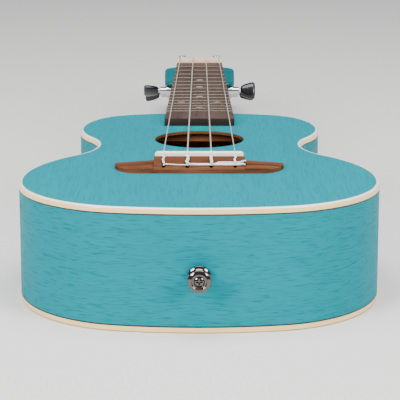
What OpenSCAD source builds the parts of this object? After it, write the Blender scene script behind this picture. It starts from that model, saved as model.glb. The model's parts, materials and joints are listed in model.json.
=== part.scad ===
// Concert ukulele: hollow body, glued neck, four strings and four geared tuners.
// Drawn in the instrument frame: X to the right of the strings, Y from the tail end to the head,
// Z up from the face of the soundboard. laid() then puts the instrument down on its flat back.

/* [Body outline] */
// Length of the body on its centre line
body_length = 290; // [280:1:300]
// Widest width of the lower bout
lower_bout = 207.4; // [204:0.2:212]
// Width at the waist
waist = 128; // [124:1:131]
// Widest width of the upper bout
upper_bout = 157; // [154:1:160]
// Where the lower bout is widest, from the tail end
lower_bout_y = 76; // [73:1:79]
// Where the waist is narrowest, from the tail end
waist_y = 176; // [173:1:179]
// Where the upper bout is widest, from the tail end
upper_bout_y = 232; // [229:1:235]
// Radius of the flat curve at the tail end
tail_radius = 260; // [240:5:300]
// Radius of the lower corners
lower_corner_radius = 70; // [66:1:74]
// Radius of the lower bout's sides
lower_side_radius = 98; // [94:1:102]
// Radius of the upper corners
upper_corner_radius = 38; // [34:1:42]
// Radius of the flat curve at the neck end
neck_end_radius = 160; // [145:5:180]

/* [Body depth] */
// Depth of the body at the tail end
tail_depth = 70; // [64:1:76]
// Depth of the body at the neck end
neck_depth = 61; // [56:1:66]
// Thickness of the soundboard
soundboard_t = 2; // [1.6:0.1:2.6]
// Thickness of the back plate
back_t = 2.2; // [1.8:0.1:2.8]
// Thickness of the bent ribs
rib_t = 1.8; // [1.4:0.1:2.4]

/* [Edge trim] */
// Height of each binding strip
binding_h = 3.2; // [2.8:0.1:5]
// Radius of the binding's outer edge
binding_round = 1.2; // [0.6:0.1:1.3]
// Height of the dark line beside each binding
purfling_h = 0.7; // [0.3:0.1:0.9]
// Thickness of the linings, across the rib
lining_t = 4.5; // [3.5:0.5:6]
// Height of the linings
lining_h = 11; // [9:1:14]
// Width of each saw kerf in the linings
kerf_w = 0.8; // [0.5:0.1:1.2]
// Distance from one kerf to the next
kerf_pitch = 8; // [6:1:12]
// Depth of wood left behind each kerf
kerf_web = 1; // [0.8:0.1:1.4]

/* [Sound hole and braces] */
// Radius of the sound hole
hole_radius = 28.5; // [24:0.5:31]
// Centre of the sound hole, from the tail end
hole_y = 194.5; // [192:0.5:197]
// Width of the top braces
brace_w = 7; // [5:0.5:9]
// Height of the top braces
brace_h = 6.3; // [5:0.1:8]
// Gap from the sound hole to the brace on each side of it
brace_gap = 6; // [4:1:9]
// Width of a fan brace
fan_w = 5; // [4:0.5:7]
// Height of a fan brace
fan_h = 5; // [4:0.5:7]
// Angle between fan braces
fan_angle = 9; // [5:1:12]
// Width of a back brace
back_brace_w = 8; // [6:1:10]
// Height of a back brace
back_brace_h = 8; // [6:1:10]
// Width of the strip over the back's centre seam
seam_strip_w = 18; // [14:1:24]
// Thickness of the centre seam strip
seam_strip_t = 1.5; // [1:0.5:2.5]

/* [Blocks] */
// Width of the tail block
tail_block_w = 62; // [50:2:70]
// Thickness of the tail block
tail_block_t = 12; // [10:1:16]
// Width of the neck block
neck_block_w = 56; // [50:2:62]
// Thickness of the neck block
neck_block_t = 22; // [18:1:28]

/* [Strings] */
// Vibrating length, from the saddle to the nut
scale_length = 380; // [376:1:386]
// Where the saddle stands, from the tail end
saddle_y = 107; // [105:0.5:109]
// Distance between strings at the saddle
saddle_pitch = 14; // [13:0.25:14.5]
// Distance between strings at the nut
nut_pitch = 10.4; // [9.8:0.1:10.8]
// Diameters of the G, C, E and A strings
string_d = [0.66, 0.94, 0.82, 0.62]; // [0.5:0.02:1.1]

/* [Fingerboard and frets] */
// Thickness of the fingerboard
board_t = 5; // [4:0.25:6]
// Width of the fingerboard at the nut
board_nut_w = 35.6; // [35:0.2:37]
// Width of the fingerboard over the body
board_end_w = 46.4; // [45:0.2:48]
// Where the fingerboard ends, from the tail end
board_end_y = 240; // [236:1:244]
// Number of frets
fret_count = 15; // [12:1:16]
// Width of a fret's crown
fret_w = 2.1; // [1.6:0.1:2.6]
// Height of a fret's crown
fret_h = 0.95; // [0.7:0.05:1.2]
// Width of a fret's tang
tang_w = 0.6; // [0.4:0.1:0.8]
// Depth of a fret's tang
tang_d = 1.6; // [1:0.1:2.2]
// Radius of the dots in the fingerboard's face
dot_r = 2.5; // [1.5:0.25:3]
// Distance of the twin dots from the centre line
twin_dot_x = 12.5; // [10:0.5:13]
// Radius of the dots in the fingerboard's edge
side_dot_r = 1; // [0.6:0.1:1.5]
// Depth of the dots
dot_depth = 1.5; // [1:0.1:2.5]

/* [Nut and saddle] */
// Thickness of the nut, along the strings
nut_t = 4.2; // [3.5:0.1:5.5]
// Height of the nut above the fingerboard's face
nut_rise = 4.1; // [3.2:0.1:4.6]
// Height of the strings above the fingerboard at the nut
nut_action = 1.7; // [1.3:0.1:2.2]
// Thickness of the saddle
saddle_t = 2.8; // [2.4:0.1:3.2]
// Width of the saddle, across the strings
saddle_w = 52.8; // [50:0.2:55]
// Height of the saddle's top above the soundboard
saddle_h = 9.7; // [9:0.1:10.5]

/* [Bridge] */
// Width of the bridge, across the strings
bridge_w = 100.4; // [92:0.2:106]
// Length of the bridge, along the strings
bridge_l = 25; // [23:1:28]
// Thickness of the bridge's wings
wing_t = 3.4; // [2.8:0.1:4]
// Width of the bridge's raised block
block_w = 53.6; // [52:0.2:58]
// Height of the tie block
block_h = 7.8; // [7:0.1:8.4]
// Radius of the string holes
tie_hole_r = 1.1; // [0.9:0.1:1.3]
// Thickness of the patch under the bridge
patch_t = 2; // [1.5:0.5:3]

/* [Neck] */
// Depth of the neck under the fingerboard at the nut
neck_nut_t = 12.5; // [11:0.5:14]
// Depth of the neck under the fingerboard at the heel
neck_heel_t = 14.5; // [13:0.5:16]
// Reach of the heel from the body
heel_reach = 34; // [28:1:40]
// Width of the heel at its foot
heel_foot_w = 24; // [20:1:28]
// Distance of the heel's foot from the back
heel_rise = 4; // [2:0.5:8]

/* [Headstock] */
// Angle of the headstock below the fingerboard
head_angle = 12.5; // [10:0.5:14]
// Thickness of the headstock
head_t = 13.6; // [12:0.2:15]
// Length of the headstock
head_l = 112; // [108:1:124]
// Width of the headstock at the near tuners
head_near_w = 56.6; // [54:0.2:60]
// Width of the headstock at the far tuners
head_far_w = 58.4; // [56:0.2:64]

/* [Tuners] */
// Distance of the posts from the centre line
post_x = 14; // [13:0.5:15]
// Distance of the near posts from the nut
near_post = 35; // [32:1:38]
// Distance from the near posts to the far posts
post_step = 40; // [36:1:44]
// Radius of a string post
post_r = 3; // [2.6:0.1:3.2]
// Height of a string post above the headstock
post_rise = 10.8; // [10:0.2:14]
// Outer radius of the bushing's sleeve
bushing_r = 4.2; // [4:0.1:4.6]
// Running clearance of the shafts in their bearings
running_gap = 0.05; // [0.03:0.01:0.08]
// Teeth on the worm wheel
wheel_teeth = 15; // [13:1:16]
// Pitch of the worm's thread
worm_pitch = 1.5; // [1.4:0.05:1.6]
// Width of the worm wheel
wheel_w = 3; // [2.4:0.1:3.4]
// Depth of the tuner housing behind the headstock
housing_h = 9.6; // [9:0.2:11]
// Wall of the tuner housing
housing_wall = 1.1; // [0.9:0.1:1.4]
// Radius of the button's shaft
shaft_r = 1.6; // [1.4:0.1:1.8]
// Length of a tuner button
button_l = 12; // [10:0.5:14]
// Width of a tuner button
button_w = 15; // [12:0.5:17]
// Thickness of a tuner button
button_t = 7; // [6:0.5:8]

/* [Strap button] */
// Radius of the strap button's head
strap_r = 6.4; // [6:0.1:7.5]
// Length of the strap button
strap_l = 12.5; // [10:0.5:15]
// Height of the strap button below the soundboard
strap_z = 37.5; // [33:0.5:38]
// Radius of the screw's shank
strap_screw_r = 1.8; // [1.5:0.1:2.2]

/* [Hidden] */
$fn = 96;

// Small overlap that keeps cuts clean
eps = 0.01;
// A length greater than any part of the body
far = 400;

// Slope of the back against the soundboard
taper = atan((tail_depth - neck_depth) / body_length);

// Outline: each arc is [centre, radius, first angle, last angle, bulge], bulge -1 where it is hollow
tail_c = [0, tail_radius];
lower_c = [lower_bout / 2 - lower_side_radius, lower_bout_y];
lower_in = waist / 2 - lower_c[0];
waist_rise = waist_y - lower_bout_y;
waist_radius = (lower_in ^ 2 + waist_rise ^ 2 - lower_side_radius ^ 2)
  / (2 * (lower_side_radius - lower_in));
waist_c = [waist / 2 + waist_radius, waist_y];
upper_in = waist_c[0] - upper_bout / 2;
upper_rise = upper_bout_y - waist_y;
upper_side_radius = (upper_in ^ 2 + upper_rise ^ 2 - waist_radius ^ 2)
  / (2 * (waist_radius - upper_in));
upper_c = [upper_bout / 2 - upper_side_radius, upper_bout_y];
neck_end_c = [0, body_length - neck_end_radius];
lower_corner_c = crossing(lower_c, lower_side_radius - lower_corner_radius,
                          tail_c, tail_radius - lower_corner_radius, 1);
upper_corner_c = crossing(upper_c, upper_side_radius - upper_corner_radius,
                          neck_end_c, neck_end_radius - upper_corner_radius, -1);
tail_turn = bearing(lower_corner_c - tail_c);
lower_turn = bearing(lower_corner_c - lower_c);
waist_turn = bearing(waist_c - lower_c);
upper_turn = bearing(upper_c - waist_c);
corner_turn = bearing(upper_corner_c - upper_c);
neck_turn = bearing(upper_corner_c - neck_end_c);
arcs = [
  [tail_c, tail_radius, -90, tail_turn, 1],
  [lower_corner_c, lower_corner_radius, tail_turn, lower_turn, 1],
  [lower_c, lower_side_radius, lower_turn, waist_turn, 1],
  [waist_c, waist_radius, waist_turn + 180, upper_turn, -1],
  [upper_c, upper_side_radius, upper_turn - 180, corner_turn, 1],
  [upper_corner_c, upper_corner_radius, corner_turn, neck_turn, 1],
  [neck_end_c, neck_end_radius, neck_turn, 90, 1]
];
// Angle between the points of a plate's outline
outline_step = 3;
// Height of the trim on the edge of each plate
trim_h = binding_h + purfling_h;
// Room left round the ends of the braces
brace_room = 0.5;

// Strings, from the left: G, C, E, A
nut_y = saddle_y + scale_length;
head_y = nut_y + nut_t;
string_side = [-1, -1, 1, 1];
string_row = [0, 1, 1, 0];
nut_slot_angle = 17;
nut_slot_room = 0.12;
nut_end_r = 2;
last_end_l = 5.5;
nut_top = board_t + nut_rise;

// Bridge, measured from the saddle
saddle_set_back = 18;
bridge_y = saddle_y - saddle_set_back;
bridge_corner_w = 14;
bridge_corner_l = 19;
bridge_front_corner = 3;
bridge_crown_radius = 700;
// The tie block's face towards the tail: distance from the bridge's tail edge and height
block_face = [[0, 2.6], [2, 2.8], [3.8, 3.4], [5.3, 4.5], [6.3, 5.9], [7, block_h - 0.5],
              [7.6, block_h]];
block_edge = block_face[len(block_face) - 1][0];
channel_start = saddle_y - 4.3;
channel_end = saddle_y - 2.4;
ledge_h = 6.3;
// The block's slope towards the head: distance from the bridge's head edge and height
block_front = [[4.4, ledge_h], [3, 5.7], [1.4, 3.3], [0, 1]];
saddle_slot_h = 1.2;
saddle_end_r = 2;
tie_hole_z = 3.6;
// A string's way down that face and into its hole: distance from the bridge's tail edge, and
// height above the hole's middle
tie_path = [[5.3, 3.1], [3.9, 1.7], [3.3, 0.8], [4.2, 0.1], [6, 0]];
patch_margin = 3;

// Braces
upper_brace_y = hole_y + hole_radius + brace_gap;
lower_brace_y = hole_y - hole_radius - brace_gap - brace_w;
fan_start_y = 42;

// Neck: the share of its depth where the heel starts, and how its sections round off
neck_root = 6;
neck_section_power = 0.8;
heel_top = 0.6;
heel_steps = 5;
heel_side_power = 1.2;
heel_foot_reach = 0.34;
heel_reach_power = 2.2;
heel_section_power = 0.9;

// Headstock
head_face_z = 1.5;
head_root = 5;
head_flare = 30;
head_crest = 3;
head_corner = 9;

// Tuners: lengths along the button's axis are from the post's axis
wheel_pitch_r = wheel_teeth * worm_pitch / (2 * PI);
worm_pitch_r = 2.3;
tooth_above = 0.42;
tooth_below = 0.62;
tooth_slant = tan(20);
wheel_tooth_w = 0.5;
worm_tooth_w = 0.42;
worm_y = -(wheel_pitch_r + worm_pitch_r);
worm_z = -4.6;
worm_core_r = worm_pitch_r - tooth_below + 0.02;
worm_half = 4.2;
worm_turns = 5;
chamber_gap = 0.4;
worm_chamber_r = worm_pitch_r + tooth_above + chamber_gap;
wheel_chamber_r = wheel_pitch_r + tooth_above + chamber_gap;
barrel_r = worm_chamber_r + housing_wall;
barrel_start = -6.5;
barrel_end = 13;
collar_end = barrel_start + 1.3;
housing_r = wheel_chamber_r + housing_wall;
spout_end = 18;
button_gap = 1.5;
button_start = spout_end + button_gap;
button_end = button_start + button_l;
button_seat = 1.2;
button_taper = 1.4;
button_screw_r = 0.8;
button_screw_l = 8;
screw_head_gap = 0.1;
button_head_r = 2;
screw_slot_w = 0.5;
shaft_set_back = 4;
cap_t = 0.9;
cap_r = wheel_chamber_r + 0.35;
ear_y = housing_r + 2.6;
ear_r = 2.8;
ear_t = 1.4;
tuner_screw_r = 1;
tuner_screw_l = 8;
bushing_flange_r = bushing_r + 1.6;
bushing_flange_t = 1.2;
bushing_l = 8;
post_bore_r = post_r + running_gap;
post_waist_r = post_r - 0.4;
post_hole_r = 0.8;
post_hole_z = 7.4;
winding_z = 2.4;
winding_turns = 3;
winding_steps = 12;
winding_gap = 0.02;
button_turns = [65, 20, -35, -8];

// Strap button
washer_t = 1.2;
washer_r = strap_r - 0.6;
strap_waist_r = 3.5;
strap_dome_r = 12;
strap_dish_r = 4.1;
strap_dish_d = 1.9;
screw_head_r = strap_screw_r * 1.6;
screw_head_h = 2;
screw_dome_h = 1;
screw_dome_r = (screw_head_r ^ 2 + screw_dome_h ^ 2) / (2 * screw_dome_h);
screw_reach = 11;
screw_cross_l = 3.6;
screw_cross_w = 0.8;
screw_cross_d = 0.9;

// ---- Functions ----

function bearing(v) = atan2(v[1], v[0]);

// Where two circles cross; side 1 is to the right of the line from the first centre to the second
function crossing(c1, r1, c2, r2, side) =
  let (d = norm(c2 - c1),
       along = (r1 ^ 2 - r2 ^ 2 + d ^ 2) / (2 * d),
       off = sqrt(max(0, r1 ^ 2 - along ^ 2)),
       u = (c2 - c1) / d)
  c1 + along * u + side * off * [u[1], -u[0]];

function arc_points(a, inset) =
  let (n = ceil(abs(a[3] - a[2]) / outline_step))
  [for (i = [0:n - 1])
    let (t = a[2] + (a[3] - a[2]) * i / n)
    a[0] + (a[1] - a[4] * inset) * [cos(t), sin(t)]];

function outline(inset) =
  let (right = concat([for (a = arcs) each arc_points(a, inset)], [[0, body_length - inset]]))
  concat(right, [for (i = [len(right) - 2:-1:1]) [-right[i][0], right[i][1]]]);

function fret_y(n) = nut_y - scale_length * (1 - 2 ^ (-n / 12));
function space_y(n) = (fret_y(n - 1) + fret_y(n)) / 2;
function board_w(y) =
  board_nut_w + (board_end_w - board_nut_w) * (nut_y - y) / (nut_y - board_end_y);
function saddle_x(i) = saddle_pitch * (i - 1.5);
function nut_x(i) = nut_pitch * (i - 1.5);
function smooth(t) = let (s = min(1, max(0, t))) s * s * (3 - 2 * s);

// A point on the headstock's face, moved into the instrument frame
function from_head(p) = [
  p[0],
  head_y + p[1] * cos(head_angle) + p[2] * sin(head_angle),
  head_face_z - p[1] * sin(head_angle) + p[2] * cos(head_angle)
];

// Half width of the headstock at a distance from the nut
function head_half(y) =
  board_nut_w / 2
  + (head_near_w - board_nut_w) / 2 * smooth(y / head_flare)
  + (head_far_w - head_near_w) / 2 * smooth((y - near_post) / post_step);

// Rings of a round tube through the points; ref is never along the tube
function tube_rings(p, r, ref, sides) =
  [for (i = [0:len(p) - 1])
    let (a = p[max(0, i - 1)],
         b = p[min(len(p) - 1, i + 1)],
         t = (b - a) / norm(b - a),
         n = cross(t, ref) / norm(cross(t, ref)),
         m = cross(t, n))
    for (k = [0:sides - 1])
      p[i] + r * (n * cos(360 * k / sides) + m * sin(360 * k / sides))];

function tube_faces(n, sides) = concat(
  [[for (k = [0:sides - 1]) k]],
  [for (i = [0:n - 2], k = [0:sides - 1])
    let (q = i * sides, k2 = (k + 1) % sides)
    [q + k, q + sides + k, q + sides + k2, q + k2]],
  [[for (k = [sides - 1:-1:0]) (n - 1) * sides + k]]);

// ---- Frames ----

module laid() {
  translate([0, tail_depth * sin(taper) - body_length / 2, tail_depth * cos(taper)])
    rotate([-taper, 0, 0]) children();
}

module on_back() {
  translate([0, -body_length / 2, 0]) children();
}

module on_head() {
  laid() translate([0, head_y, head_face_z]) rotate([-head_angle, 0, 0]) children();
}

// The tuner's own frame: post along Z through the headstock's face, button towards +X
module at_tuner(i) {
  on_head()
    translate([string_side[i] * post_x, near_post + string_row[i] * post_step, 0])
      mirror([string_side[i] < 0 ? 1 : 0, 0, 0]) children();
}

// ---- Shared shapes ----

module tube(p, r, ref, sides = 10) {
  polyhedron(points = tube_rings(p, r, ref, sides), faces = tube_faces(len(p), sides),
             convexity = 6);
}

module slab(inset, z, h) {
  translate([0, 0, z]) linear_extrude(h) polygon(outline(inset));
}

// Everything inside the ribs, from the back plate to the soundboard
module cavity(inset) {
  intersection() {
    laid() slab(inset, -far, far - soundboard_t);
    translate([-far, -far, back_t]) cube(2 * far);
  }
}

// A band that follows the edge, between two insets
module ring(outer, inner, z, h) {
  translate([0, 0, z]) linear_extrude(h) difference() {
    polygon(outline(outer));
    polygon(outline(inner));
  }
}

// A closed band with its own section; each point of the section is [inset, height]
module shaped_ring(section) {
  n = len(section);
  loops = [for (q = section) outline(q[0])];
  count = len(loops[0]);
  polyhedron(
    points = [for (i = [0:count - 1], j = [0:n - 1])
      [loops[j][i][0], loops[j][i][1], section[j][1]]],
    faces = [for (i = [0:count - 1], j = [0:n - 1])
      let (i2 = (i + 1) % count, j2 = (j + 1) % n)
      [i * n + j, i * n + j2, i2 * n + j2, i2 * n + j]],
    convexity = 8);
}

// Section of a binding strip, its rounded corner outwards; up is 1 on the soundboard, -1 on the back
function binding_section(up) = concat(
  [for (a = (up > 0 ? [0:45:90] : [90:-45:0]))
    [binding_round * (1 - cos(a)), up * binding_round * (sin(a) - 1)]],
  up > 0
    ? [[rib_t, 0], [rib_t, -binding_h], [0, -binding_h]]
    : [[0, binding_h], [rib_t, binding_h], [rib_t, 0]]);

module strap_axis() {
  translate([0, 0, -strap_z]) rotate([90, 0, 0]) children();
}

module strap_hole() {
  strap_axis() translate([0, 0, -far]) cylinder(r = strap_screw_r, h = 2 * far);
}

// ---- Body ----

module soundboard() {
  color("turquoise") laid() difference() {
    slab(rib_t, -soundboard_t, soundboard_t);
    translate([0, hole_y, -far / 2]) cylinder(r = hole_radius, h = far);
  }
}

module back_plate() {
  color("turquoise") on_back() slab(rib_t, 0, back_t);
}

module right_rib_half() {
  difference() {
    laid() difference() {
      ring(0, rib_t, -tail_depth - trim_h, tail_depth);
      strap_hole();
    }
    translate([-far, -far, trim_h - far]) cube([2 * far, 2 * far, far]);
    translate([-far, -far, -far]) cube([far, 2 * far, 2 * far]);
  }
}

module right_rib() {
  color("mediumturquoise") right_rib_half();
}

module left_rib() {
  color("mediumturquoise") mirror([1, 0, 0]) right_rib_half();
}

module top_binding() {
  color("ivory") laid() shaped_ring(binding_section(1));
}

module back_binding() {
  color("ivory") on_back() shaped_ring(binding_section(-1));
}

module top_purfling() {
  color("black") laid() ring(0, rib_t, -trim_h, purfling_h);
}

module back_purfling() {
  color("black") on_back() ring(0, rib_t, binding_h, purfling_h);
}

// ---- Linings and blocks ----

// Saw kerfs across the right half of a lining, each at right angles to the edge
module right_kerfs(z, h) {
  for (a = arcs) {
    mid_r = a[1] - a[4] * (rib_t + lining_t / 2);
    n = floor(abs(a[3] - a[2]) * PI / 180 * mid_r / kerf_pitch);
    for (k = [0.5:1:n]) {
      reach = a[1] - a[4] * (rib_t + kerf_web + (a[4] > 0 ? lining_t : 0));
      translate(a[0]) rotate(a[2] + (a[3] - a[2]) * k / n)
        translate([reach, -kerf_w / 2, z]) cube([lining_t, kerf_w, h]);
    }
  }
}

module kerfs(z, h) {
  right_kerfs(z, h);
  mirror([1, 0, 0]) right_kerfs(z, h);
}

// Where the back's binding and dark line go round the linings and blocks
module back_trim_space() {
  on_back() ring(-trim_h, rib_t, -eps, trim_h + eps);
}

module block_space() {
  laid() translate([-tail_block_w / 2, 0, -far])
    cube([tail_block_w, rib_t + tail_block_t, far]);
  laid() translate([-neck_block_w / 2, body_length - rib_t - neck_block_t, -far])
    cube([neck_block_w, rib_t + neck_block_t, far]);
}

module top_lining() {
  color("burlywood") difference() {
    laid() ring(rib_t, rib_t + lining_t, -soundboard_t - lining_h, lining_h);
    laid() kerfs(-soundboard_t - lining_h - eps, lining_h + 2 * eps);
    block_space();
  }
}

module back_lining() {
  color("burlywood") difference() {
    intersection() {
      laid() ring(rib_t, rib_t + lining_t, -tail_depth - trim_h, tail_depth);
      translate([-far, -far, back_t]) cube([2 * far, 2 * far, lining_h]);
    }
    laid() kerfs(-tail_depth - trim_h, tail_depth);
    block_space();
    back_trim_space();
  }
}

module tail_block() {
  color("peru") difference() {
    intersection() {
      cavity(rib_t);
      laid() translate([-tail_block_w / 2, 0, -far])
        cube([tail_block_w, rib_t + tail_block_t, far]);
    }
    laid() strap_hole();
    back_trim_space();
  }
}

module neck_block() {
  color("peru") difference() {
    intersection() {
      cavity(rib_t);
      laid() translate([-neck_block_w / 2, body_length - rib_t - neck_block_t, -far])
        cube([neck_block_w, rib_t + neck_block_t, far]);
    }
    back_trim_space();
  }
}

// ---- Braces ----

module top_brace(y) {
  laid() intersection() {
    slab(rib_t + lining_t + brace_room, -soundboard_t - brace_h, brace_h);
    translate([-far / 2, y, -far / 2]) cube([far, brace_w, far]);
  }
}

module upper_brace() {
  color("saddlebrown") top_brace(upper_brace_y);
}

module lower_brace() {
  color("burlywood") top_brace(lower_brace_y);
}

module patch_shape() {
  translate([-bridge_w / 2 + patch_margin, bridge_y - patch_margin, -soundboard_t - patch_t])
    cube([bridge_w - 2 * patch_margin, bridge_l + 2 * patch_margin, patch_t]);
}

module bridge_patch() {
  color("peru") laid() patch_shape();
}

module fan_braces() {
  color("burlywood") laid() difference() {
    for (k = [-1:1]) {
      translate([0, lower_brace_y, -soundboard_t - fan_h]) rotate(k * fan_angle)
        translate([k * 3 * fan_w - fan_w / 2, fan_start_y - lower_brace_y, 0])
          cube([fan_w, lower_brace_y - fan_start_y + fan_w, fan_h]);
    }
    patch_shape();
    translate([-far / 2, lower_brace_y, -far / 2]) cube(far);
  }
}

module back_brace_bars() {
  for (y = [lower_bout_y, waist_y, upper_bout_y]) {
    translate([-far / 2, y - back_brace_w / 2, 0]) cube([far, back_brace_w, far / 4]);
  }
}

module back_braces() {
  color("burlywood") on_back() intersection() {
    slab(rib_t + lining_t + 2 * brace_room, back_t, back_brace_h);
    back_brace_bars();
  }
}

module back_seam_strip() {
  strip_start = rib_t + tail_block_t + brace_room;
  strip_l = body_length - strip_start - rib_t - neck_block_t - 2 * brace_room;
  color("burlywood") on_back() difference() {
    translate([-seam_strip_w / 2, strip_start, back_t]) cube([seam_strip_w, strip_l, seam_strip_t]);
    back_brace_bars();
  }
}

// ---- Bridge ----

module bridge_outline() {
  right = concat(
    [for (a = [-90:7.5:0])
      [bridge_w / 2 - bridge_corner_w * (1 - cos(a)), bridge_corner_l * (1 + sin(a))]],
    [for (a = [0:15:90])
      [bridge_w / 2 - bridge_front_corner * (1 - cos(a)),
       bridge_l - bridge_front_corner * (1 - sin(a))]]);
  polygon(concat(right, [for (i = [len(right) - 1:-1:0]) [-right[i][0], right[i][1]]]));
}

// Side view of the tie block, its channel and the saddle's ledge
module block_side() {
  channel_z = tie_hole_z - tie_hole_r;
  polygon(concat(
    [[bridge_y, 0]],
    [for (q = block_face) [bridge_y + q[0], q[1]]],
    [
      [channel_start, block_h], [channel_start, channel_z],
      [channel_end, channel_z], [channel_end, ledge_h]
    ],
    [for (q = block_front) [bridge_y + bridge_l - q[0], q[1]]],
    [[bridge_y + bridge_l, 0]]
  ));
}

module across(w) {
  rotate([90, 0, 90]) linear_extrude(w, center = true) children();
}

module bridge() {
  color("sienna") laid() difference() {
    union() {
      difference() {
        intersection() {
          translate([0, bridge_y, 0]) linear_extrude(wing_t) bridge_outline();
          translate([0, bridge_y + bridge_l, 0]) rotate([90, 0, 0]) linear_extrude(bridge_l)
            polygon(concat([[bridge_w / 2, 0], [-bridge_w / 2, 0]],
              [for (x = [-bridge_w / 2:bridge_w / 16:bridge_w / 2])
                [x, wing_t - x ^ 2 / (2 * bridge_crown_radius)]]));
        }
        translate([-block_w / 2, 0, -far / 2]) cube([block_w, far, far]);
      }
      across(block_w) block_side();
    }
    translate([-saddle_w / 2, saddle_y - saddle_t / 2, saddle_slot_h])
      cube([saddle_w, saddle_t, far]);
    for (i = [0:3]) {
      translate([saddle_x(i), bridge_y - 1, tie_hole_z]) rotate([-90, 0, 0])
        cylinder(r = tie_hole_r, h = channel_end - bridge_y + 1);
    }
  }
}

module saddle() {
  color("ivory") laid() intersection() {
    translate([0, saddle_y, 0]) across(saddle_w) {
      translate([-saddle_t / 2, saddle_slot_h])
        square([saddle_t, saddle_h - saddle_slot_h - saddle_t / 2]);
      translate([0, saddle_h - saddle_t / 2]) circle(saddle_t / 2);
    }
    translate([0, saddle_y + saddle_t, 0]) rotate([90, 0, 0]) linear_extrude(2 * saddle_t) {
      translate([-saddle_w / 2, 0]) square([saddle_w, saddle_h - saddle_end_r]);
      translate([saddle_end_r - saddle_w / 2, 0]) square([saddle_w - 2 * saddle_end_r, saddle_h]);
      for (s = [-1, 1]) translate([s * (saddle_w / 2 - saddle_end_r), saddle_h - saddle_end_r])
        circle(saddle_end_r);
    }
  }
}

// ---- Neck ----

module neck_slice(y, w, d) {
  translate([0, y, 0]) rotate([90, 0, 0]) linear_extrude(eps)
    polygon([for (k = [0:20])
      let (a = 180 + 9 * k) [w / 2 * cos(a), -d * abs(sin(a)) ^ neck_section_power]]);
}

// One level of the heel, seen from above: square at the body, round towards the head
module heel_slice(t) {
  foot_z = -(neck_depth - heel_rise);
  z = -neck_heel_t * heel_top * (1 - t) + foot_z * t;
  w = heel_foot_w + (board_w(body_length) - heel_foot_w) * (1 - t) ^ heel_side_power;
  reach = heel_reach * (heel_foot_reach + (1 - heel_foot_reach) * (1 - t) ^ heel_reach_power);
  translate([0, body_length - neck_root, z]) linear_extrude(eps)
    polygon(concat([[-w / 2, 0], [w / 2, 0]],
      [for (k = [0:16])
        let (a = 180 * k / 16)
        [w / 2 * cos(a), neck_root + reach * sin(a) ^ heel_section_power]]));
}

module neck() {
  color("mediumturquoise") laid() difference() {
    union() {
      hull() {
        neck_slice(body_length - neck_root, board_w(body_length), neck_heel_t);
        neck_slice(head_y, board_nut_w, neck_nut_t);
      }
      for (k = [0:heel_steps - 1]) {
        hull() {
          heel_slice(k / heel_steps);
          heel_slice((k + 1) / heel_steps);
        }
      }
    }
    slab(0, -far, 2 * far);
  }
}

module head_shape() {
  steps = 32;
  top_y = head_l - head_corner;
  side = concat(
    [for (k = [0:steps])
      let (y = -head_root + (top_y + head_root) * k / steps) [head_half(y), y]],
    [for (a = [15:15:90])
      [head_half(head_l) - head_corner * (1 - cos(a)), top_y + head_corner * sin(a)]],
    [for (k = [1:6])
      let (t = k / 6)
      [(head_half(head_l) - head_corner) * (1 - t), head_l + head_crest * smooth(t)]]);
  polygon(concat(side, [for (i = [len(side) - 2:-1:0]) [-side[i][0], side[i][1]]]));
}

module headstock() {
  color("mediumturquoise") difference() {
    on_head() translate([0, 0, -head_t]) linear_extrude(head_t) head_shape();
    laid() translate([-far / 2, head_y - far, -far / 2]) cube(far);
    for (i = [0:3]) {
      at_tuner(i) translate([0, 0, -far / 2]) cylinder(r = bushing_r, h = far);
      at_tuner(i) translate([0, ear_y, -head_t - eps])
        cylinder(r = tuner_screw_r, h = tuner_screw_l + eps);
    }
  }
}

module fingerboard() {
  color("saddlebrown") laid() difference() {
    linear_extrude(board_t) polygon([
      [-board_end_w / 2, board_end_y], [board_end_w / 2, board_end_y],
      [board_nut_w / 2, nut_y], [-board_nut_w / 2, nut_y]
    ]);
    for (n = [1:fret_count]) {
      translate([-far / 2, fret_y(n) - tang_w / 2, board_t - tang_d]) cube([far, tang_w, far]);
    }
    dots();
  }
}

module frets() {
  crown_r = (fret_w ^ 2 / 4 + fret_h ^ 2) / (2 * fret_h);
  color("silver") laid() for (n = [1:fret_count]) {
    translate([0, fret_y(n), board_t]) across(board_w(fret_y(n) + fret_w)) {
      intersection() {
        translate([0, fret_h - crown_r]) circle(crown_r);
        translate([-fret_w, 0]) square([2 * fret_w, 2 * fret_h]);
      }
      translate([-tang_w / 2, -tang_d]) square([tang_w, tang_d + eps]);
    }
  }
}

module face_dot(n, x) {
  translate([x, space_y(n), board_t - dot_depth]) cylinder(r = dot_r, h = dot_depth);
}

module side_dot(n, y_off) {
  y = space_y(n) + y_off;
  translate([-board_w(y) / 2, y, board_t / 2]) rotate([0, 90, 0]) translate([0, 0, -eps])
    cylinder(r = side_dot_r, h = dot_depth);
}

module dots() {
  for (n = [5, 7, 10, 14]) {
    face_dot(n, 0);
    side_dot(n, 0);
  }
  for (s = [-1, 1]) {
    face_dot(12, s * twin_dot_x);
    side_dot(12, s * 2 * side_dot_r);
  }
}

module fret_markers() {
  color("ivory") laid() dots();
}

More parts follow.
